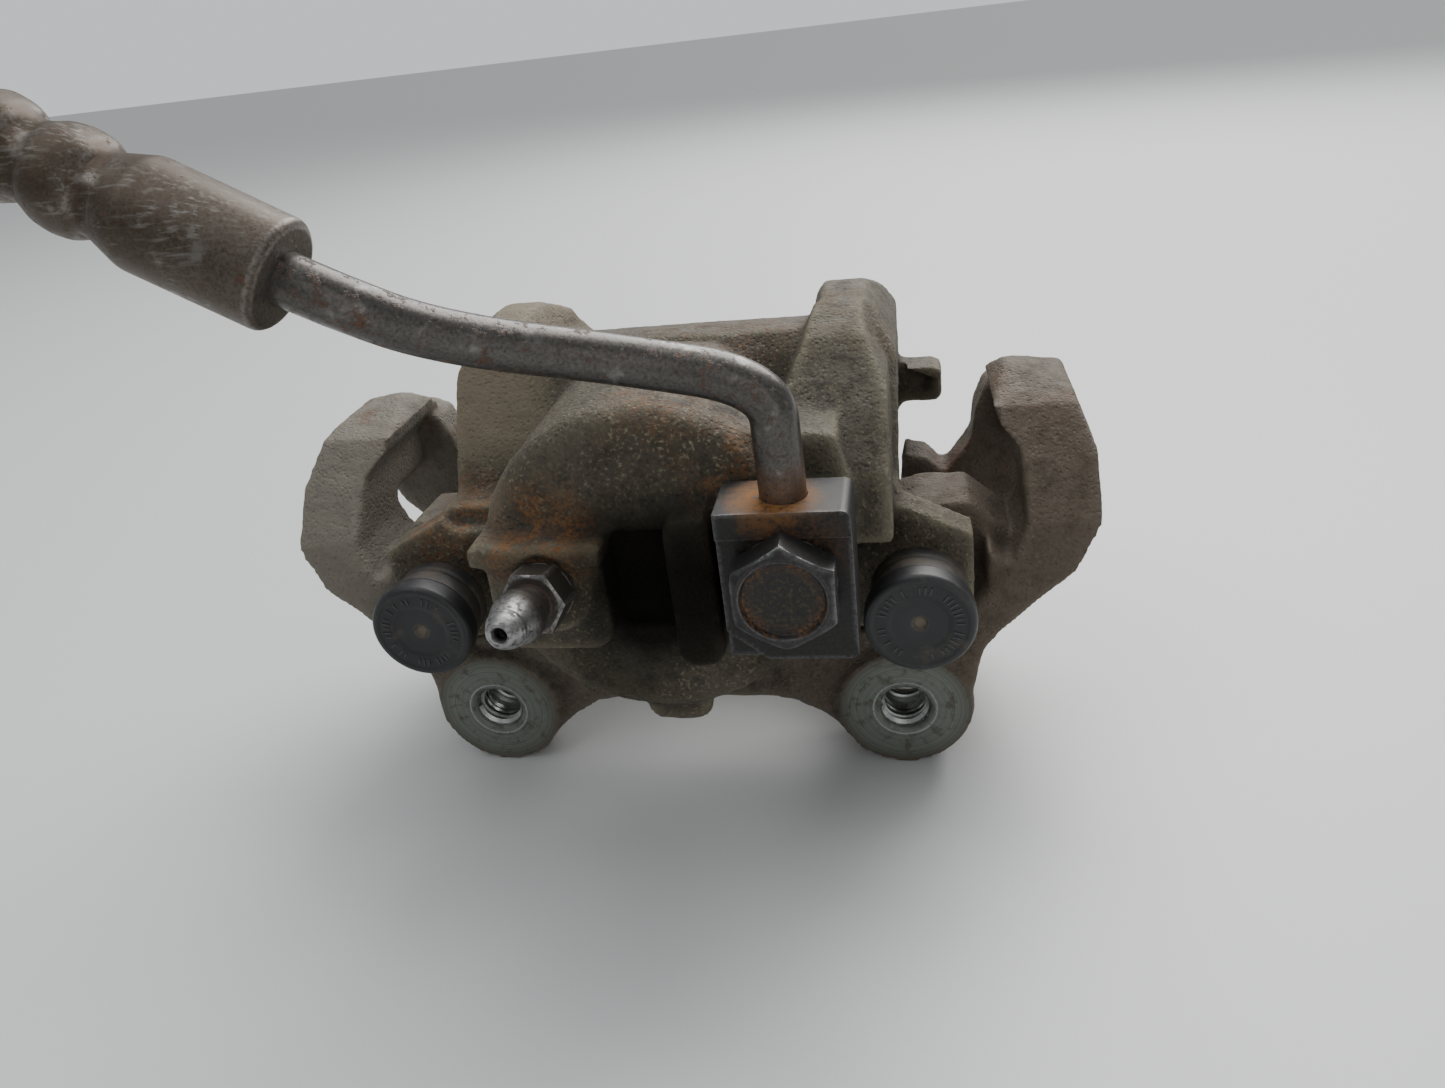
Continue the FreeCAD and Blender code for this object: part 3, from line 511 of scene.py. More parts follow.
def dusty_rubber_group():
    """Black rubber with dust in its low places and a grey bloom on the rest."""
    tree, given, out = group(
        "dusty_rubber",
        [("Rubber", "colour"), ("Dust", "colour"), ("Dusting", "number"), ("Edge", "number"),
         ("Hollow", "number")],
        [("Color", "colour"), ("Roughness", "number"), ("Height", "number")])
    here = own_place(tree)
    cloud, fine = noise(tree, here, 6.0, 6, 0.62), noise(tree, here, 0.35, 4)
    dust = spread(tree, sums(tree, "ADD", cloud, given["Dusting"]), 0.52, 0.92)
    dust = sums(tree, "MAXIMUM", dust, both(tree, given["Hollow"], 0.7))
    dust = both(tree, dust, spread(tree, fine, 0.25, 0.6, 0.45, 1.0))
    tone = blend(tree, dust, given["Rubber"], given["Dust"])
    tone = blend(tree, both(tree, given["Edge"], 0.35), tone, (0.10, 0.10, 0.105))
    feed(tree, out.inputs["Color"], tone)
    feed(tree, out.inputs["Roughness"], spread(tree, dust, 0, 1, 0.46, 0.86))
    feed(tree, out.inputs["Height"], sums(tree, "ADD", both(tree, fine, 0.4),
                                          both(tree, cloud, 0.6)))
    return tree


DUSTY_RUBBER = dusty_rubber_group()
ROAD_DUST = (0.135, 0.108, 0.078)


def rubber(name, tone, dusting, dust=ROAD_DUST, depth=0.08):
    """A dusty rubber finish: (material, tree, shader)."""
    return finish(name, DUSTY_RUBBER, depth, 0.8, Rubber=tone, Dust=dust, Dusting=dusting)[:3]


def swept_curve(name, route, radius):
    """A round bar along one smooth line through a route of control points."""
    curve = bpy.data.curves.new(name, "CURVE")
    curve.dimensions = "3D"
    line = curve.splines.new("NURBS")
    line.points.add(len(route) - 1)
    for point, where in zip(line.points, route):
        point.co = (*where, 1.0)
    line.order_u = 3
    line.use_endpoint_u = True
    line.resolution_u = 24
    curve.resolution_u = 24
    curve.bevel_depth = radius
    curve.bevel_resolution = 10
    curve.use_fill_caps = True
    return curve


hose_cover = rubber("hose_cover", (0.016, 0.016, 0.017), 0.0)[0]
brake_hose = place("brake_hose_cover", swept_curve("brake_hose_cover", HOSE_ROUTE, HOSE_DIA / 2),
                   "caliper", hose_cover, "hose_rubber", "brake_hose")


# ------------------------------------------------------------------ hose ferrule
# Long steel ferrule that joins the rigid pipe to the hose: a turned collar at the pipe end,
# then a sleeve crimped in two bands. It has gone brown, with bright streaks where it was held.
FERRULE_R = 8.4
PIPE_R = 4.0


def jaw_marks(s, r, angle):
    """The crimping jaws leave flats in two bands and shallow ridges between them."""
    if 24.5 < s < 27.2 or 35.0 < s < 38.6:
        return r - 0.35 * abs(math.cos(3 * angle)) ** 3
    if 27.2 <= s <= 35.0 or 38.6 <= s < 45:
        return r + 0.12 * math.cos(6 * angle)
    return r


def tint(tree, shader, mask, colour, rough=None, metal=None):
    """Lay a colour over a finished material where a mask shows."""
    base = shader.inputs["Base Color"].links[0].from_socket
    feed(tree, shader.inputs["Base Color"], blend(tree, mask, base, colour))
    for label, value in (("Roughness", rough), ("Metallic", metal)):
        if value is None:
            continue
        old = shader.inputs[label]
        before = old.links[0].from_socket if old.links else old.default_value
        feed(tree, old, add(tree, "ShaderNodeMapRange", mask, 0.0, 1.0, before,
                            value).outputs[0])


def streaked_steel():
    """Brown film with bright scratches that run along the ferrule."""
    material, tree, shader = steel("ferrule_steel", (0.052, 0.034, 0.020),
                                   (0.27, 0.255, 0.235), 0.03, 0.05)
    along = math.atan2(FERRULE_WAY.z, -FERRULE_WAY.x)
    lined = add(tree, "ShaderNodeMapping", own_place(tree), Rotation=(0, along, 0),
                Scale=(0.07, 1, 1)).outputs[0]
    streaks = spread(tree, noise(tree, lined, 0.55, 5, 0.6), 0.52, 0.70)
    handled = spread(tree, noise(tree, own_place(tree), 9, 3), 0.42, 0.62)
    tint(tree, shader, both(tree, streaks, handled), (0.20, 0.19, 0.175))
    return material


n, r = FERRULE_LEN, FERRULE_R
barrel = eased([(0, PIPE_R + 0.02), (0, r - 0.9), (0.9, r), (20.5, r), (24.5, r - 1.5),
                (26.6, r - 1.9), (28.4, r - 0.9), (31, r - 0.6), (33.6, r - 1.0),
                (36, r - 2.2), (38, r - 2.1), (40, r - 1.1), (43, r - 0.8), (45.4, r - 1.9),
                (n - 1, r - 1.6), (n, r - 2.2), (n, 5.3), (n - 7, 5.3), (n - 7, PIPE_R + 0.02)],
               0.8)
barrel += [barrel[0]]
lathe("pipe_ferrule", barrel, FERRULE_START, FERRULE_WAY, "caliper", streaked_steel(),
      "ferrule_steel", "hose_ferrule", rule=jaw_marks, sides=128)


# ------------------------------------------------------------------ rigid pipe
# Bent steel pipe, 8 mm across, brazed into the hose block and swaged into the ferrule. Its
# plating is worn to bright steel on top of the bends and rust has pitted the rest.
BLOCK_X, BLOCK_Z = 28.0, 52.0
BLOCK_TOP_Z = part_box("hose_block")[1].z / MM
PIPE_Y = -27.2
PIPE_ROUTE = [Vector(p) * MM for p in [
    (BLOCK_X, PIPE_Y, BLOCK_TOP_Z - 4.5), (BLOCK_X - 0.2, PIPE_Y, BLOCK_TOP_Z + 7),
    (BLOCK_X - 0.5, PIPE_Y - 0.2, 84.5), (3.5, -28.0, 90.0), (-19.5, -40.5, 99.0)]]
PIPE_ROUTE += [FERRULE_START + FERRULE_WAY * s * MM for s in (-6, 6, FERRULE_LEN - 8.5)]


def line_of(route):
    """The smooth line through a route, as a mesh of joined points."""
    return [v.co.copy() for v in worked(stand("line", swept_curve("line", route, 0.0))).vertices]


def pipe_mesh(name, points, radius, sides=40):
    """A round tube along a line of points, closed at both ends."""
    rows, side = [], Vector((0, 1, 0))
    for i, here in enumerate(points):
        way = (points[min(i + 1, len(points) - 1)] - points[max(i - 1, 0)]).normalized()
        side = (side - way * side.dot(way)).normalized()
        up = way.cross(side)
        rows.append([here + (side * math.cos(a) + up * math.sin(a)) * radius
                     for a in (2 * math.pi * k / sides for k in range(sides))])
    faces = [(r * sides + k, r * sides + (k + 1) % sides, (r + 1) * sides + (k + 1) % sides,
              (r + 1) * sides + k) for r in range(len(rows) - 1) for k in range(sides)]
    faces.append(tuple(range(sides)))
    faces.append(tuple((len(rows) - 1) * sides + k for k in range(sides)))
    mesh = bpy.data.meshes.new(name)
    mesh.from_pydata([p for row in rows for p in row], [], faces)
    finish_mesh(mesh)
    edge_marks(mesh)
    return mesh


def ragged_patch_group():
    """A ragged patch about a point, for rust, dust, wear and painted shade: how much shows, 0 to
    1.
    """
    tree, given, out = group("ragged_patch", [("Centre", "place"), ("Reach", "number"),
                                            ("Ragged", "number")], [("Mask", "number")])
    here = own_place(tree)
    lumps = add(tree, "ShaderNodeTexNoise", Vector=here, Scale=1 / (5 * MM), Detail=6.0,
                Roughness=0.7).outputs["Color"]
    push = add(tree, "ShaderNodeVectorMath", lumps, (-0.5, -0.5, -0.5),
               settings={"operation": "ADD"}).outputs[0]
    shift = add(tree, "ShaderNodeVectorMath", push, settings={"operation": "SCALE"},
                Scale=given["Ragged"]).outputs[0]
    there = add(tree, "ShaderNodeVectorMath", here, shift,
                settings={"operation": "ADD"}).outputs[0]
    far = add(tree, "ShaderNodeVectorMath", there, given["Centre"],
              settings={"operation": "DISTANCE"}).outputs["Value"]
    share = sums(tree, "DIVIDE", far, given["Reach"])
    feed(tree, out.inputs["Mask"], spread(tree, share, 0.45, 1.0, 1.0, 0.0))
    return tree


RAGGED_PATCH = ragged_patch_group()


def bloom(tree, centre, reach, ragged=9.0):
    """Ragged patch mask about a centre in mm, for rust, dust, wear and painted shade."""
    made = tree.nodes.new("ShaderNodeGroup")
    made.node_tree = RAGGED_PATCH
    made.inputs["Centre"].default_value = Vector(centre) * MM
    made.inputs["Reach"].default_value = reach * MM
    made.inputs["Ragged"].default_value = ragged * MM
    return made.outputs["Mask"]


pipe_skin, tree, shader = steel("pipe_steel", (0.046, 0.039, 0.033), (0.25, 0.24, 0.23), 0.06,
                                0.10, depth=0.16)
feed(tree, shader.inputs["Roughness"],
     both(tree, shader.inputs["Roughness"].links[0].from_socket, 0.66))
grain = noise(tree, own_place(tree), 0.6, 5, 0.65)
foot = both(tree, bloom(tree, (BLOCK_X, PIPE_Y, BLOCK_TOP_Z + 1), 7, 5),
            spread(tree, grain, 0.35, 0.55))
tint(tree, shader, foot, (0.15, 0.062, 0.018), 0.85, 0.0)
place("brake_pipe_bar", pipe_mesh("brake_pipe_bar", line_of(PIPE_ROUTE), PIPE_R * MM),
      "caliper", pipe_skin, "pipe_steel", "brake_pipe")


# ------------------------------------------------------------------ carrier bracket
# One iron casting: mounting ears, C-shaped arms over the disc's edge and a tie bar. The sand
# has left it rough, its corners are rounded, and only the ears and their holes are machined.
EAR_X, EAR_R, EAR_BORE_R, EAR_CHAMFER_R, EAR_THICK = 46.0, 14.5, 5.15, 6.35, 14.0
PIN_X, PIN_Z = 49.7, 32.0
CARRIER_TONE = (0.128, 0.108, 0.082)
IRON_SOOT = (0.022, 0.019, 0.016)


def sand_cast_group():
    """Old cast iron: mottled brown-grey, pale sand specks, soot in the hollows."""
    tree, given, out = group(
        "sand_cast",
        [("Tone", "colour"), ("Speck", "colour"), ("Soot", "colour"), ("Edge", "number"),
         ("Hollow", "number"), ("Specks", "number")],
        [("Color", "colour"), ("Roughness", "number"), ("Height", "number")])
    here = own_place(tree)
    patches = noise(tree, here, 22, 5, 0.6)
    mottle = noise(tree, here, 4.0, 6, 0.62)
    fine = noise(tree, here, 0.75, 4, 0.6)
    pits = add(tree, "ShaderNodeTexVoronoi", Vector=here, Scale=1 / (1.1 * MM)).outputs[0]
    tone = blend(tree, spread(tree, patches, 0.35, 0.68), given["Tone"],
                 blend(tree, 1.0, given["Tone"], (0.60, 0.56, 0.52), "MULTIPLY"))
    tone = blend(tree, spread(tree, mottle, 0.50, 0.68, 0.0, 0.75), tone, given["Soot"])
    tone = blend(tree, spread(tree, fine, 0.30, 0.46, 0.75, 0.0), tone, given["Soot"])
    grains = both(tree, spread(tree, fine, 0.56, 0.68),
                  spread(tree, sums(tree, "ADD", patches, given["Specks"]), 0.45, 0.75))
    tone = blend(tree, both(tree, grains, 0.8), tone, given["Speck"])
    tone = blend(tree, both(tree, given["Hollow"], 0.8), tone, given["Soot"])
    tone = blend(tree, both(tree, given["Edge"], spread(tree, mottle, 0.35, 0.6,
                                                                    0.1, 0.55)),
                 tone, given["Speck"])
    feed(tree, out.inputs["Color"], tone)
    feed(tree, out.inputs["Roughness"], spread(tree, mottle, 0.3, 0.7, 0.62, 0.86))
    height = sums(tree, "ADD", both(tree, fine, 0.55),
                  both(tree, mottle, 0.8))
    feed(tree, out.inputs["Height"],
         sums(tree, "ADD", height, spread(tree, pits, 0.05, 0.4, -0.35, 0.0)))
    return tree


SAND_CAST = sand_cast_group()


def cast_iron(name, tone, speck, specks):
    """A cast finish, smooth where it is machined: (material, tree, shader, machined mask)."""
    material, tree, shader, bump = finish(name, SAND_CAST, 0.55, 1.0, Tone=tone, Speck=speck,
                                          Soot=IRON_SOOT, Specks=specks)
    milled = mark(tree, "machined")
    feed(tree, bump.inputs["Strength"], sums(tree, "SUBTRACT", 1.0, both(tree, milled, 0.85)))
    return material, tree, shader, milled


def relief_tree():
    """The uneven skin that a sand mould leaves: swells and grain along the normal."""
    tree, given, out = growing_group(
        "cast_relief", [("Swell size", "number"), ("Swell", "number"), ("Grain size", "number"),
                        ("Grain", "number"), ("Iron", "skin")])
    where = add(tree, "GeometryNodeInputPosition").outputs[0]
    total = None
    for size, depth in (("Swell size", "Swell"), ("Grain size", "Grain")):
        often = sums(tree, "DIVIDE", 1.0, given[size])
        lump = add(tree, "ShaderNodeTexNoise", Vector=where, Scale=often,
                   Detail=3.0).outputs[0]
        lift = both(tree, sums(tree, "SUBTRACT", lump, 0.5), given[depth])
        total = lift if total is None else sums(tree, "ADD", total, lift)
    milled = add(tree, "GeometryNodeInputNamedAttribute", settings={"data_type": "FLOAT"},
                 Name="machined")
    total = both(tree, total, sums(tree, "SUBTRACT", 1.0, milled.outputs[0]))
    normal = add(tree, "GeometryNodeInputNormal").outputs[0]
    offset = add(tree, "ShaderNodeVectorMath", normal, settings={"operation": "SCALE"},
                 Scale=total).outputs[0]
    moved = add(tree, "GeometryNodeSetPosition", Geometry=given["Geometry"], Offset=offset)
    return coat(tree, out, moved, given["Iron"])


CAST_RELIEF = relief_tree()


def true_up(mesh, bores, faces):
    """Put points that lie near a machined bore or face exactly on it, and mark them."""
    count = len(mesh.vertices)
    co = np.empty(count * 3)
    mesh.vertices.foreach_get("co", co)
    co = co.reshape(-1, 3) / MM
    milled = np.zeros(count)
    for x, z, y, radius in faces:
        reach = np.hypot(co[:, 0] - x, co[:, 2] - z)
        near = (np.abs(co[:, 1] - y) < 0.8) & (reach < radius)
        co[near, 1] = y
        milled[near] = 1
    for x, z, radius, y0, y1 in bores:
        off = co[:, [0, 2]] - (x, z)
        reach = np.hypot(off[:, 0], off[:, 1])
        near = (np.abs(reach - radius) < 0.75) & (co[:, 1] > y0) & (co[:, 1] < y1)
        co[np.ix_(near, [0, 2])] = (x, z) + off[near] * (radius / reach[near])[:, None]
        milled[near] = 1
    mesh.vertices.foreach_set("co", (co * MM).ravel())
    layer = mesh.attributes.new("machined", "FLOAT", "POINT")
    layer.data.foreach_set("value", milled.astype(np.float32))


def solid_copy(name, node, join_flats=False):
    """The node's solid as a new object, with its loose triangles merged."""
    mesh = frame["nodes"][node].data.copy()
    bm = bmesh.new()
    bm.from_mesh(mesh)
    bmesh.ops.remove_doubles(bm, verts=bm.verts, dist=1e-6)
    if join_flats:
        bmesh.ops.dissolve_limit(bm, angle_limit=math.radians(2), verts=bm.verts,
                                 edges=bm.edges)
    bm.to_mesh(mesh)
    bm.free()
    return stand(name, mesh)


def casting(name, node, voxel, material, bores, faces):
    """The node's solid with cast corners: remeshed, eased, trued up and given its skin."""
    block = solid_copy(name, node)
    cells = block.modifiers.new("cells", "REMESH")
    cells.mode = "VOXEL"
    cells.voxel_size = voxel * MM
    ease = block.modifiers.new("ease", "SMOOTH")
    ease.factor = 0.5
    ease.iterations = 4
    mesh = worked(block)
    true_up(mesh, bores, faces)
    mesh = grown(CAST_RELIEF, mesh, Swell_size=7 * MM, Swell=0.7 * MM, Grain_size=1.7 * MM,
                 Grain=0.34 * MM, Iron=material)
    mesh.shade_smooth()
    edge_marks(mesh, rounds=2, full=0.45)
    mesh.name = name
    return mesh


carrier_iron, tree, shader, milled = cast_iron("carrier_iron", CARRIER_TONE,
                                               (0.27, 0.24, 0.185), 0.02)
own = own_place(tree)
browned = spread(tree, noise(tree, own, 30, 4), 0.42, 0.62)
across = add(tree, "ShaderNodeSeparateXYZ", own).outputs
right_side = spread(tree, across["X"], -0.01, 0.06)
tint(tree, shader, both(tree, sums(tree, "MAXIMUM", browned, right_side), 0.55),
     (0.082, 0.056, 0.036))
pale_left = both(tree, spread(tree, across["X"], -0.072, -0.05, 0.55, 0.0),
                 spread(tree, across["Z"], 0.0, 0.03))
tint(tree, shader, pale_left, (0.215, 0.20, 0.165))
rusty = spread(tree, noise(tree, own, 9, 7, 0.68), 0.54, 0.66)
deep = spread(tree, across["Y"], 0.012, 0.034)
tint(tree, shader, both(tree, rusty, deep, 0.65), (0.12, 0.045, 0.018))
# facing marks run round each ear, and rust has crept back over the skimmed face
aside = sums(tree, "SUBTRACT", sums(tree, "ABSOLUTE", across["X"]), EAR_X * MM)
from_hole = sums(tree, "SQRT", sums(tree, "ADD", both(tree, aside, aside),
                                    both(tree, across["Z"], across["Z"])))
circle = add(tree, "ShaderNodeCombineXYZ", from_hole, 0.0, 0.0).outputs[0]
rings = noise(tree, circle, 0.35, 3)
skimmed = blend(tree, spread(tree, rings, 0.35, 0.65), (0.105, 0.118, 0.100),
                (0.205, 0.222, 0.195))
crept = sums(tree, "MAXIMUM", spread(tree, noise(tree, own, 3.0, 6, 0.65), 0.50, 0.66),
             spread(tree, from_hole, 0.0105, 0.0140, 0.0, 0.75))
skimmed = blend(tree, both(tree, crept, 0.8), skimmed, (0.062, 0.050, 0.034))
tint(tree, shader, milled, skimmed, 0.46, 0.3)
ear_sides = (-EAR_X, EAR_X)
place("carrier_casting",
      casting("carrier_casting", "carrier_bracket", 0.95, carrier_iron,
              [(x, 0, EAR_BORE_R, 0.6, EAR_THICK - 0.4) for x in ear_sides],
              [(x, 0, 0, EAR_R - 1.0) for x in ear_sides]),
      "carrier", carrier_iron, "cast_carrier", "carrier_bracket")


# ------------------------------------------------------------------ ear holes
# Each ear is drilled, countersunk and tapped for the bolt that holds the carrier to the
# axle. The countersink is fresh bright metal, and the thread shows inside.
EAR_PITCH = 1.5
ALONG_SLIDE = (0, 1, 0)
bright_cut = steel("bright_cut", (0.14, 0.15, 0.14), (0.42, 0.44, 0.42), 0.10, 0.0)[0]
lining = eased([(-0.05, EAR_CHAMFER_R + 0.55), (0.0, EAR_CHAMFER_R), (1.25, EAR_BORE_R - 0.05),
                (EAR_THICK - 1.0, EAR_BORE_R - 0.05), (EAR_THICK - 1.0, EAR_BORE_R + 0.3),
                (0.9, EAR_BORE_R + 0.3 + 0.4), (0.25, EAR_CHAMFER_R + 0.55)], 0.12)
for side, x in (("left", -EAR_X), ("right", EAR_X)):
    mouth = Vector((x, 0, 0)) * MM
    lathe("ear_countersink_" + side, lining, mouth, ALONG_SLIDE, "carrier", bright_cut,
          "cast_carrier", closed=True)
    place("ear_thread_" + side,
          thread("ear_thread_" + side, EAR_BORE_R - 0.1, EAR_PITCH, 7.4,
                 mouth + Vector((0, 1.6, 0)) * MM, ALONG_SLIDE, bright_cut),
          "carrier", bright_cut, "cast_carrier")


# ------------------------------------------------------------------ caliper housing
# The sliding iron casting: cylinder, bridge over the disc, two fingers, guide lugs, bleeder
# ledge and hose boss. Olive-brown and sandy, with orange rust where water has stood on it.
PISTON_R, PISTON_Z = 19.0, 46.0
SEAT_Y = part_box("hose_block")[1].y / MM + 1.0
LUG_FACE_Y = -4.0
FINGER_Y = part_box("caliper_housing")[1].y / MM - 12.0

housing_iron, tree, shader, milled = cast_iron("housing_iron", (0.086, 0.073, 0.050),
                                               (0.30, 0.27, 0.18), 0.10)
OCHRE_RUST = (0.27, 0.112, 0.034)
own = own_place(tree)
across = add(tree, "ShaderNodeSeparateXYZ", own).outputs
# Painted light: the flat left wing of the bridge is tinted a lighter tan, as a face lit more
# brightly than the rest.
lit_left_wing = both(tree, spread(tree, across["X"], -0.030, -0.022, 1.0, 0.0),
                 spread(tree, across["Z"], 0.055, 0.062))
tint(tree, shader, both(tree, lit_left_wing, 0.8), (0.190, 0.156, 0.106))
fine_rust = both(tree, spread(tree, noise(tree, own, 0.8, 5, 0.65), 0.40, 0.60),
                 spread(tree, noise(tree, own, 4.5, 6, 0.65), 0.40, 0.58))
for centre, reach, amount, colour in (
        ((-18, -24, 56), 13, 0.95, OCHRE_RUST), ((20, -18, 64), 12, 0.8, OCHRE_RUST),
        ((5, -12, 76), 14, 0.35, OCHRE_RUST), ((-44, 2, 48), 13, 0.7, OCHRE_RUST),
        ((40, 22, 82), 22, 0.55, (0.13, 0.082, 0.045)), ((10, 30, 80), 26, 0.5, RUST_BROWN),
        ((30, -18, 34), 12, 0.4, RUST_BROWN), ((-47, -2, 40), 12, 0.4, RUST_BROWN),
        ((50, -4, 46), 14, 0.45, (0.085, 0.055, 0.032))):
    tint(tree, shader, both(tree, bloom(tree, centre, reach), fine_rust, amount), colour, 0.9)
worn = both(tree, bloom(tree, (-32, 10, 71), 7, 7),
            spread(tree, noise(tree, own, 1.2, 5), 0.4, 0.62))
tint(tree, shader, worn, (0.16, 0.17, 0.17), 0.5)
# Painted shade: near-black, matte patches laid over the pocket behind the cylinder and the
# recesses round it, where shadow falls; the specular is turned down with them.
shade_matte = 0.0
for centre, reach, amount in (((0, -18, 47), 19, 0.94), ((0, -18, 38), 16, 0.9),
                              ((10, -27, 55), 12, 0.85), ((10, -27, 46), 12, 0.9),
                              ((10, -27, 36), 11, 0.85), ((-36, -6, 40), 10, 0.7),
                              ((40, -6, 48), 10, 0.7), ((-8, -20, 26), 14, 0.4),
                              ((25, -14, 26), 12, 0.5)):
    painted_shade = both(tree, bloom(tree, centre, reach, 4), amount)
    tint(tree, shader, painted_shade, (0.0055, 0.005, 0.004), 0.9)
    shade_matte = sums(tree, "MAXIMUM", shade_matte, painted_shade)
feed(tree, shader.inputs["Specular IOR Level"], spread(tree, shade_matte, 0, 1, 0.5, 0.08))
tint(tree, shader, milled, (0.16, 0.155, 0.145), 0.4, 0.5)
place("housing_casting",
      casting("housing_casting", "caliper_housing", 0.95, housing_iron,
              [(0, PISTON_Z, PISTON_R + 0.15, -12.4, 9.0),
               (0, PISTON_Z, PISTON_R + 4.2, 9.7, 13.2),
               (-PIN_X, PIN_Z, 8.05, -3.5, 3.5), (PIN_X, PIN_Z, 8.05, -3.5, 3.5)],
              [(BLOCK_X, BLOCK_Z, SEAT_Y, 10), (-33, 45, FINGER_Y, 9), (33, 45, FINGER_Y, 9)]),
      "caliper", housing_iron, "cast_housing", "caliper_housing")


# ------------------------------------------------------------------ guide pins and bushes
# Ground steel pins screwed into the carrier. The caliper slides on them through rubber
# bushes, whose necks stand out of the lugs towards the axle.
BUSH_NECK_R, BUSH_BODY_R, CAP_R, CAP_FACE_Y = 9.5, 8.0, 10.5, -17.0
PIN_R, PIN_STUB_R = 5.0, 4.4
pin_skin = steel("guide_pin_steel", (0.24, 0.235, 0.23), (0.62, 0.62, 0.61), 0.25, -0.04)[0]
neck_skin = rubber("bush_rubber", (0.024, 0.024, 0.026), 0.16)[0]
bush = eased_loop([(-13.4, 6.6), (-15.2, 6.6), (-15.2, BUSH_NECK_R), (-8.0, BUSH_NECK_R),
                   (-7.2, BUSH_NECK_R - 0.5), (-6.4, BUSH_NECK_R - 0.05),
                   (LUG_FACE_Y, BUSH_NECK_R), (LUG_FACE_Y, BUSH_BODY_R), (4.0, BUSH_BODY_R),
                   (4.0, 8.9), (5.6, 8.5), (5.8, 5.8), (5.0, 5.06), (-5.5, 5.06), (-7.0, 6.6)],
                  0.45)
pin = eased([(-4.4, 0), (-4.4, 2.6), (-8.6, 3.0), (-9.4, 3.4), (-9.4, PIN_R - 0.5), (-8.8, PIN_R),
             (11.0, PIN_R), (11.0, PIN_STUB_R), (26.0, PIN_STUB_R), (26.5, 3.9), (26.5, 0)], 0.2)
for side, x in (("left", -PIN_X), ("right", PIN_X)):
    axis_at = Vector((x, 0, PIN_Z)) * MM
    lathe("guide_pin_bar_" + side, pin, axis_at, ALONG_SLIDE, "carrier", pin_skin,
          "pin_steel", "guide_pin_" + side)
    lathe("guide_bush_rubber_" + side, bush, axis_at, ALONG_SLIDE, "caliper", neck_skin,
          "bush_rubber", "guide_bush_" + side, closed=True)


# ------------------------------------------------------------------ dust caps
# Moulded rubbery caps pushed over the bush necks: a rolled rim, a shallow dished face with a
# small dimple in the middle where dust sits, and a ring of raised mould marks.
cap_skin, tree, shader = rubber("cap_rubber", (0.012, 0.0122, 0.0135), -0.05)
for x in (-PIN_X, PIN_X):
    tint(tree, shader, bloom(tree, (x, CAP_FACE_Y + 0.8, PIN_Z), 1.9, 0.5), (0.12, 0.098, 0.070))
cap_end = CAP_FACE_Y + 1.8
cap = eased([(CAP_FACE_Y + 1.3, 0), (CAP_FACE_Y + 1.2, 1.0), (CAP_FACE_Y + 0.55, 1.5),
             (CAP_FACE_Y + 0.5, 5.2), (CAP_FACE_Y + 0.25, 6.0), (CAP_FACE_Y + 0.2, 8.6),
             (CAP_FACE_Y, 9.2), (CAP_FACE_Y + 0.15, CAP_R - 0.5), (CAP_FACE_Y + 0.9, CAP_R),
             (cap_end + 2.4, CAP_R), (cap_end + 3.0, CAP_R - 0.3),
             (cap_end + 3.0, BUSH_NECK_R + 0.02), (cap_end, BUSH_NECK_R + 0.02), (cap_end, 0)],
            0.35)


def marks_tree():
    """Short raised bars set round a ring, some missing and some longer, as mould marks are."""
    tree, given, out = growing_group(
        "ring_of_marks", [("Count", "count"), ("Ring", "number"), ("Bar", "place"),
                          ("Seed", "count"), ("Rubber", "skin")])
    ring = add(tree, "GeometryNodeMeshCircle", Vertices=given["Count"], Radius=given["Ring"])
    bar = add(tree, "GeometryNodeMeshCube", Size=given["Bar"])
    index = add(tree, "GeometryNodeInputIndex").outputs[0]
    step = sums(tree, "DIVIDE", 2 * math.pi, given["Count"])
    turn = add(tree, "ShaderNodeCombineXYZ", Z=both(tree, index, step)).outputs[0]
    some = add(tree, "FunctionNodeRandomValue", settings={"data_type": "BOOLEAN"},
               Probability=0.55, Seed=given["Seed"])
    length = add(tree, "FunctionNodeRandomValue", None, None, 0.6, 1.3,
                 settings={"data_type": "FLOAT"}, Seed=given["Seed"])
    size = add(tree, "ShaderNodeCombineXYZ", length.outputs[1], 1.0, 1.0).outputs[0]
    laid = add(tree, "GeometryNodeInstanceOnPoints", Points=ring.outputs[0],
               Selection=some.outputs[3], Instance=bar.outputs[0], Rotation=turn, Scale=size)
    return coat(tree, out, laid, given["Rubber"])


MOULD_MARKS = marks_tree()
for side, x, seed in (("left", -PIN_X, 4), ("right", PIN_X, 11)):
    axis_at = Vector((x, 0, PIN_Z)) * MM
    lathe("dust_cap_rubber_" + side, cap, axis_at, ALONG_SLIDE, "caliper", cap_skin,
          "cap_plastic", "dust_cap_" + side)
    marks = grown(MOULD_MARKS, bpy.data.meshes.new("marks"), Count=44, Ring=7.3 * MM,
                  Bar=(1.5 * MM, 0.32 * MM, 0.24 * MM), Seed=seed, Rubber=cap_skin)
    marks.transform(Matrix.Translation(axis_at + Vector((0, CAP_FACE_Y + 0.2, 0)) * MM)
                    @ Matrix.Rotation(math.radians(90), 4, "X"))
    finish_mesh(marks)
    edge_marks(marks, rounds=0)
    place("dust_cap_marks_" + side, marks, "caliper", cap_skin, "cap_plastic")


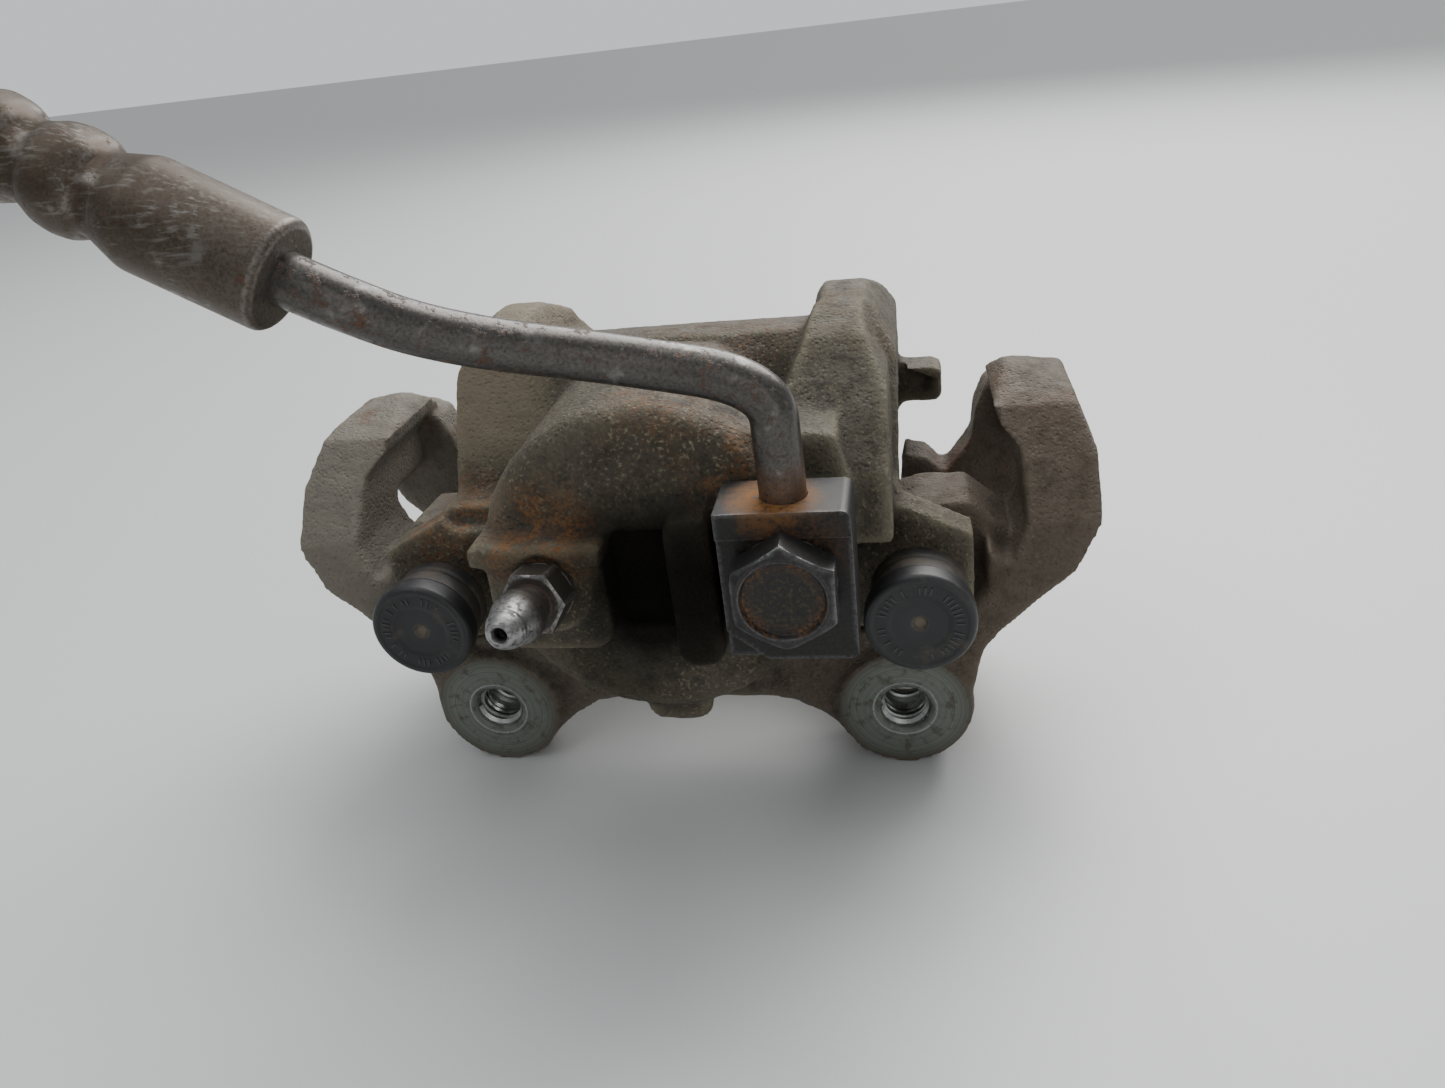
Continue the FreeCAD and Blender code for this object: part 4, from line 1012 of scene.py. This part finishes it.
# ------------------------------------------------------------------ piston and its seals
# A ground steel cup slides in the bore on one square rubber ring. A rubber boot, held by a
# pressed steel ring, keeps dirt out and stretches when the piston moves out.
PISTON_FACE_Y, PISTON_LEN = 16.5, 29.0
BOOT_SEAT_Y, RING_FRONT_Y, BOOT_GROOVE_Y, BOOT_SEAT_R = 9.6, 12.4, 13.9, 23.2
piston_axis = Vector((0, 0, PISTON_Z)) * MM
r, back, inner = PISTON_R, PISTON_FACE_Y - PISTON_LEN, PISTON_R - 5.0
cup = eased([(back, 0), (back, r - 1.2), (back + 1.2, r), (BOOT_GROOVE_Y, r),
             (BOOT_GROOVE_Y, r - 1.4), (BOOT_GROOVE_Y + 1.4, r - 1.4), (BOOT_GROOVE_Y + 1.4, r),
             (PISTON_FACE_Y - 0.5, r), (PISTON_FACE_Y, r - 0.5), (PISTON_FACE_Y, inner + 0.8),
             (PISTON_FACE_Y - 0.8, inner), (back + 6, inner), (back + 5, inner - 2),
             (back + 5, 0)], 0.25)
cup_skin = steel("piston_steel", (0.42, 0.415, 0.40), (0.68, 0.68, 0.67), 0.42, -0.06)[0]
lathe("piston_cup", cup, piston_axis, ALONG_SLIDE, "piston", cup_skin, "piston_steel",
      "piston", sides=160)
seal_skin = rubber("seal_rubber", (0.012, 0.012, 0.012), -0.1)[0]
seal = eased_loop([(2.0, r + 1.5), (2.0, r + 0.04), (5.0, r + 0.04), (5.0, r + 2.95),
                   (2.0, r + 2.95)], 0.3)
lathe("piston_seal_ring", seal, piston_axis, ALONG_SLIDE, "caliper", seal_skin,
      "seal_rubber", "piston_seal", closed=True)
boot_skin = rubber("boot_rubber", (0.018, 0.018, 0.019), 0.08)[0]
y0, y1, out_r = BOOT_SEAT_Y, BOOT_GROOVE_Y, BOOT_SEAT_R - 1.0
boot = eased_loop([(y0, r + 2.0), (y0, out_r - 0.04), (RING_FRONT_Y, out_r - 0.04),
                   (13.3, out_r - 0.5), (13.9, r + 2.4), (13.2, r + 1.9), (14.3, r + 1.6),
                   (y1 + 1.2, r + 1.1), (y1 + 1.2, r - 1.1), (y1 + 0.2, r - 1.1),
                   (y1 + 0.2, r + 0.5), (13.0, r + 0.9), (12.0, r + 1.6), (11.2, r + 1.1),
                   (y0 + 0.8, r + 0.9), (y0, r + 0.9)], 0.4)
bellows = lathe("piston_bellows", boot, piston_axis, ALONG_SLIDE, None, boot_skin,
                "boot_rubber", closed=True)
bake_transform(bellows)
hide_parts("piston_boot")
ring_skin = steel("ring_steel", (0.20, 0.19, 0.175), (0.46, 0.45, 0.43), 0.1, 0.03)[0]
ring = eased_loop([(y0, out_r + 0.5), (y0, out_r), (RING_FRONT_Y, out_r),
                   (RING_FRONT_Y, BOOT_SEAT_R - 0.03), (y0, BOOT_SEAT_R - 0.03)], 0.25)
lathe("boot_retainer", ring, piston_axis, ALONG_SLIDE, "caliper", ring_skin, "ring_steel",
      "boot_ring", closed=True)


# ------------------------------------------------------------------ bleeder screw
# Hollow screw that vents air from the cylinder. Tools and the bleed hose have polished its
# nose; the hexagon is dark and the collar has rusted against the boss.
BLEED_BASE = Vector((-17.0, -26.0, 47.0)) * MM
BLEED_WAY = Vector(frame["joints"][2]["axis"])
BLEED_AF = 11.0
nozzle = eased_loop([(-10.6, 1.35), (-10.6, 1.6), (-8.5, 4.0), (0.7, 4.0), (0.7, 5.6),
                     (2.0, 5.6), (2.0, 6.6), (7.6, 6.6), (8.0, 4.9), (8.05, 3.7), (10.4, 3.7),
                     (12.0, 4.7), (13.0, 4.85), (14.6, 4.7), (16.6, 4.15), (18.3, 3.55),
                     (18.9, 3.62), (20.6, 2.9), (21.3, 2.5), (21.8, 2.0), (21.7, 1.5),
                     (20.9, 1.15), (12, 1.1), (-10.6, 1.1)], 0.28)
screw_skin, tree, shader = steel("bleeder_steel", (0.042, 0.035, 0.028), (0.27, 0.265, 0.26),
                                 0.0, 0.08, depth=0.2)
nose = BLEED_BASE / MM + BLEED_WAY * 18.5
rubbed = both(tree, bloom(tree, nose, 6.2, 2.5),
              spread(tree, noise(tree, own_place(tree), 0.9, 5), 0.33, 0.52))
tint(tree, shader, rubbed, (0.42, 0.42, 0.42), 0.34, 1.0)
lathe("bleeder_nozzle", nozzle, BLEED_BASE, BLEED_WAY, "bleeder", screw_skin, "bleeder_steel",
      "bleeder_screw", rule=hexagon(BLEED_AF, 1.99, 8.02), closed=True)


# ------------------------------------------------------------------ hose block, bolt, washers
# A forged steel block feeds the cylinder through its hollow bolt, with a copper washer on
# each side. Dark phosphate finish, edges knocked bright, rust round the pipe and the head.
SPOT_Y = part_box("seal_washer_outer")[1].y / MM
HEAD_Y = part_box("seal_washer_outer")[0].y / MM
BOLT_TIP_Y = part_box("hose_bolt")[1].y / MM
BLOCK_THICK, BOLT_HEAD, BOLT_AF = 12.0, 6.6, 17.0


def machined_copy(name, node, width, grid=0.9):
    """The node's solid with every sharp edge broken by a small round."""
    block = solid_copy(name, node, join_flats=True)
    rim = block.modifiers.new("rim", "BEVEL")
    rim.width = width * MM
    rim.segments = 3
    rim.limit_method = "ANGLE"
    rim.angle_limit = math.radians(32)
    rim.use_clamp_overlap = True
    thirds = block.modifiers.new("thirds", "TRIANGULATE")
    thirds.min_vertices = 5
    mesh = worked(block)
    # cut the faces into a fine grid, so that wear stays within a millimetre of the edges
    bm = bmesh.new()
    bm.from_mesh(mesh)
    low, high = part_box(node)
    for axis in range(3):
        cut = [float(k == axis) for k in range(3)]
        steps = int((high[axis] - low[axis]) / (grid * MM))
        for k in range(1, steps + 1):
            at = Vector(low) + Vector(cut) * k * grid * MM
            bmesh.ops.bisect_plane(bm, geom=bm.verts[:] + bm.edges[:] + bm.faces[:],
                                   dist=1e-7, plane_co=at, plane_no=cut)
    bm.to_mesh(mesh)
    bm.free()
    finish_mesh(mesh, sharp=30)
    edge_marks(mesh, rounds=0)
    mesh.name = name
    return mesh


block_skin, tree, shader = steel("block_steel", (0.0185, 0.0175, 0.0165),
                                 (0.145, 0.145, 0.145), -0.16, -0.03, depth=0.16)
grain = spread(tree, noise(tree, own_place(tree), 0.7, 6, 0.7), 0.40, 0.60)
ring_far = bloom(tree, (BLOCK_X + 2, SPOT_Y, BLOCK_Z + 7), 10, 5)
tint(tree, shader, both(tree, ring_far, grain, 0.55), (0.13, 0.055, 0.018), 0.85, 0.0)
top_rust = both(tree, bloom(tree, (BLOCK_X - 2, PIPE_Y - 1, BLOCK_TOP_Z + 1), 9, 5),
                spread(tree, noise(tree, own_place(tree), 1.2, 6, 0.7), 0.33, 0.52), 0.8)
tint(tree, shader, top_rust, (0.30, 0.128, 0.024), 0.88, 0.0)
place("hose_block_forging", machined_copy("hose_block_forging", "hose_block", 0.45),
      "caliper", block_skin, "block_steel", "hose_block")

bolt_skin, tree, shader = steel("bolt_steel", (0.022, 0.021, 0.0205), (0.125, 0.125, 0.125),
                                -0.12, -0.01, depth=0.14)
dish_y = HEAD_Y - BOLT_HEAD + 1.2
own = own_place(tree)
near = add(tree, "ShaderNodeVectorMath", own, Vector((BLOCK_X, dish_y, BLOCK_Z)) * MM,
           settings={"operation": "DISTANCE"}).outputs["Value"]
rim_rust = both(tree, spread(tree, near, 0.0046, 0.0066),
                spread(tree, near, 0.0070, 0.0075, 1.0, 0.0))
speckle = both(tree, spread(tree, noise(tree, own, 0.6, 6, 0.72), 0.45, 0.60),
               spread(tree, noise(tree, own, 5, 4, 0.6), 0.36, 0.60))
tint(tree, shader, both(tree, rim_rust, speckle), (0.20, 0.085, 0.024), 0.85, 0.0)
floor_of_dish = both(tree, spread(tree, near, 0.0056, 0.0062, 1.0, 0.0),
                     spread(tree, noise(tree, own, 0.9, 6, 0.7), 0.5, 0.66), 0.7)
tint(tree, shader, floor_of_dish, (0.10, 0.072, 0.03), 0.85, 0.0)
tail, top = HEAD_Y - BOLT_TIP_Y, BOLT_HEAD
bolt = eased([(tail, 0.0), (tail, 4.4), (tail + 0.6, 5.0), (-1.2, 5.0), (0, 5.3), (0, 8.3),
              (0.25, 8.45), (0.3, 10.2), (4.7, 10.2), (5.7, 9.4), (6.3, 8.35), (top, 7.9),
              (top, 7.25), (top - 0.5, 6.95), (top - 1.2, 6.75), (top - 1.25, 0.0)], 0.4)
lathe("hose_bolt_steel", bolt, Vector((BLOCK_X, HEAD_Y, BLOCK_Z)) * MM, (0, -1, 0), "caliper",
      bolt_skin, "bolt_steel", "hose_bolt", sides=144,
      rule=hexagon(BOLT_AF, 0.28, top - 0.02, math.radians(30)))

copper = steel("dull_copper", (0.16, 0.085, 0.05), (0.50, 0.27, 0.16), 0.1, 0.02,
               (0.05, 0.06, 0.04))[0]
washer = eased_loop([(0.5, 5.2), (0.0, 5.2), (0.0, 7.5), (1.0, 7.5), (1.0, 5.2)], 0.2)
for name, y in (("inner", SPOT_Y + BLOCK_THICK), ("outer", HEAD_Y)):
    lathe("copper_washer_" + name, washer, Vector((BLOCK_X, y, BLOCK_Z)) * MM, ALONG_SLIDE,
          "caliper", copper, "washer_copper", "seal_washer_" + name, closed=True)
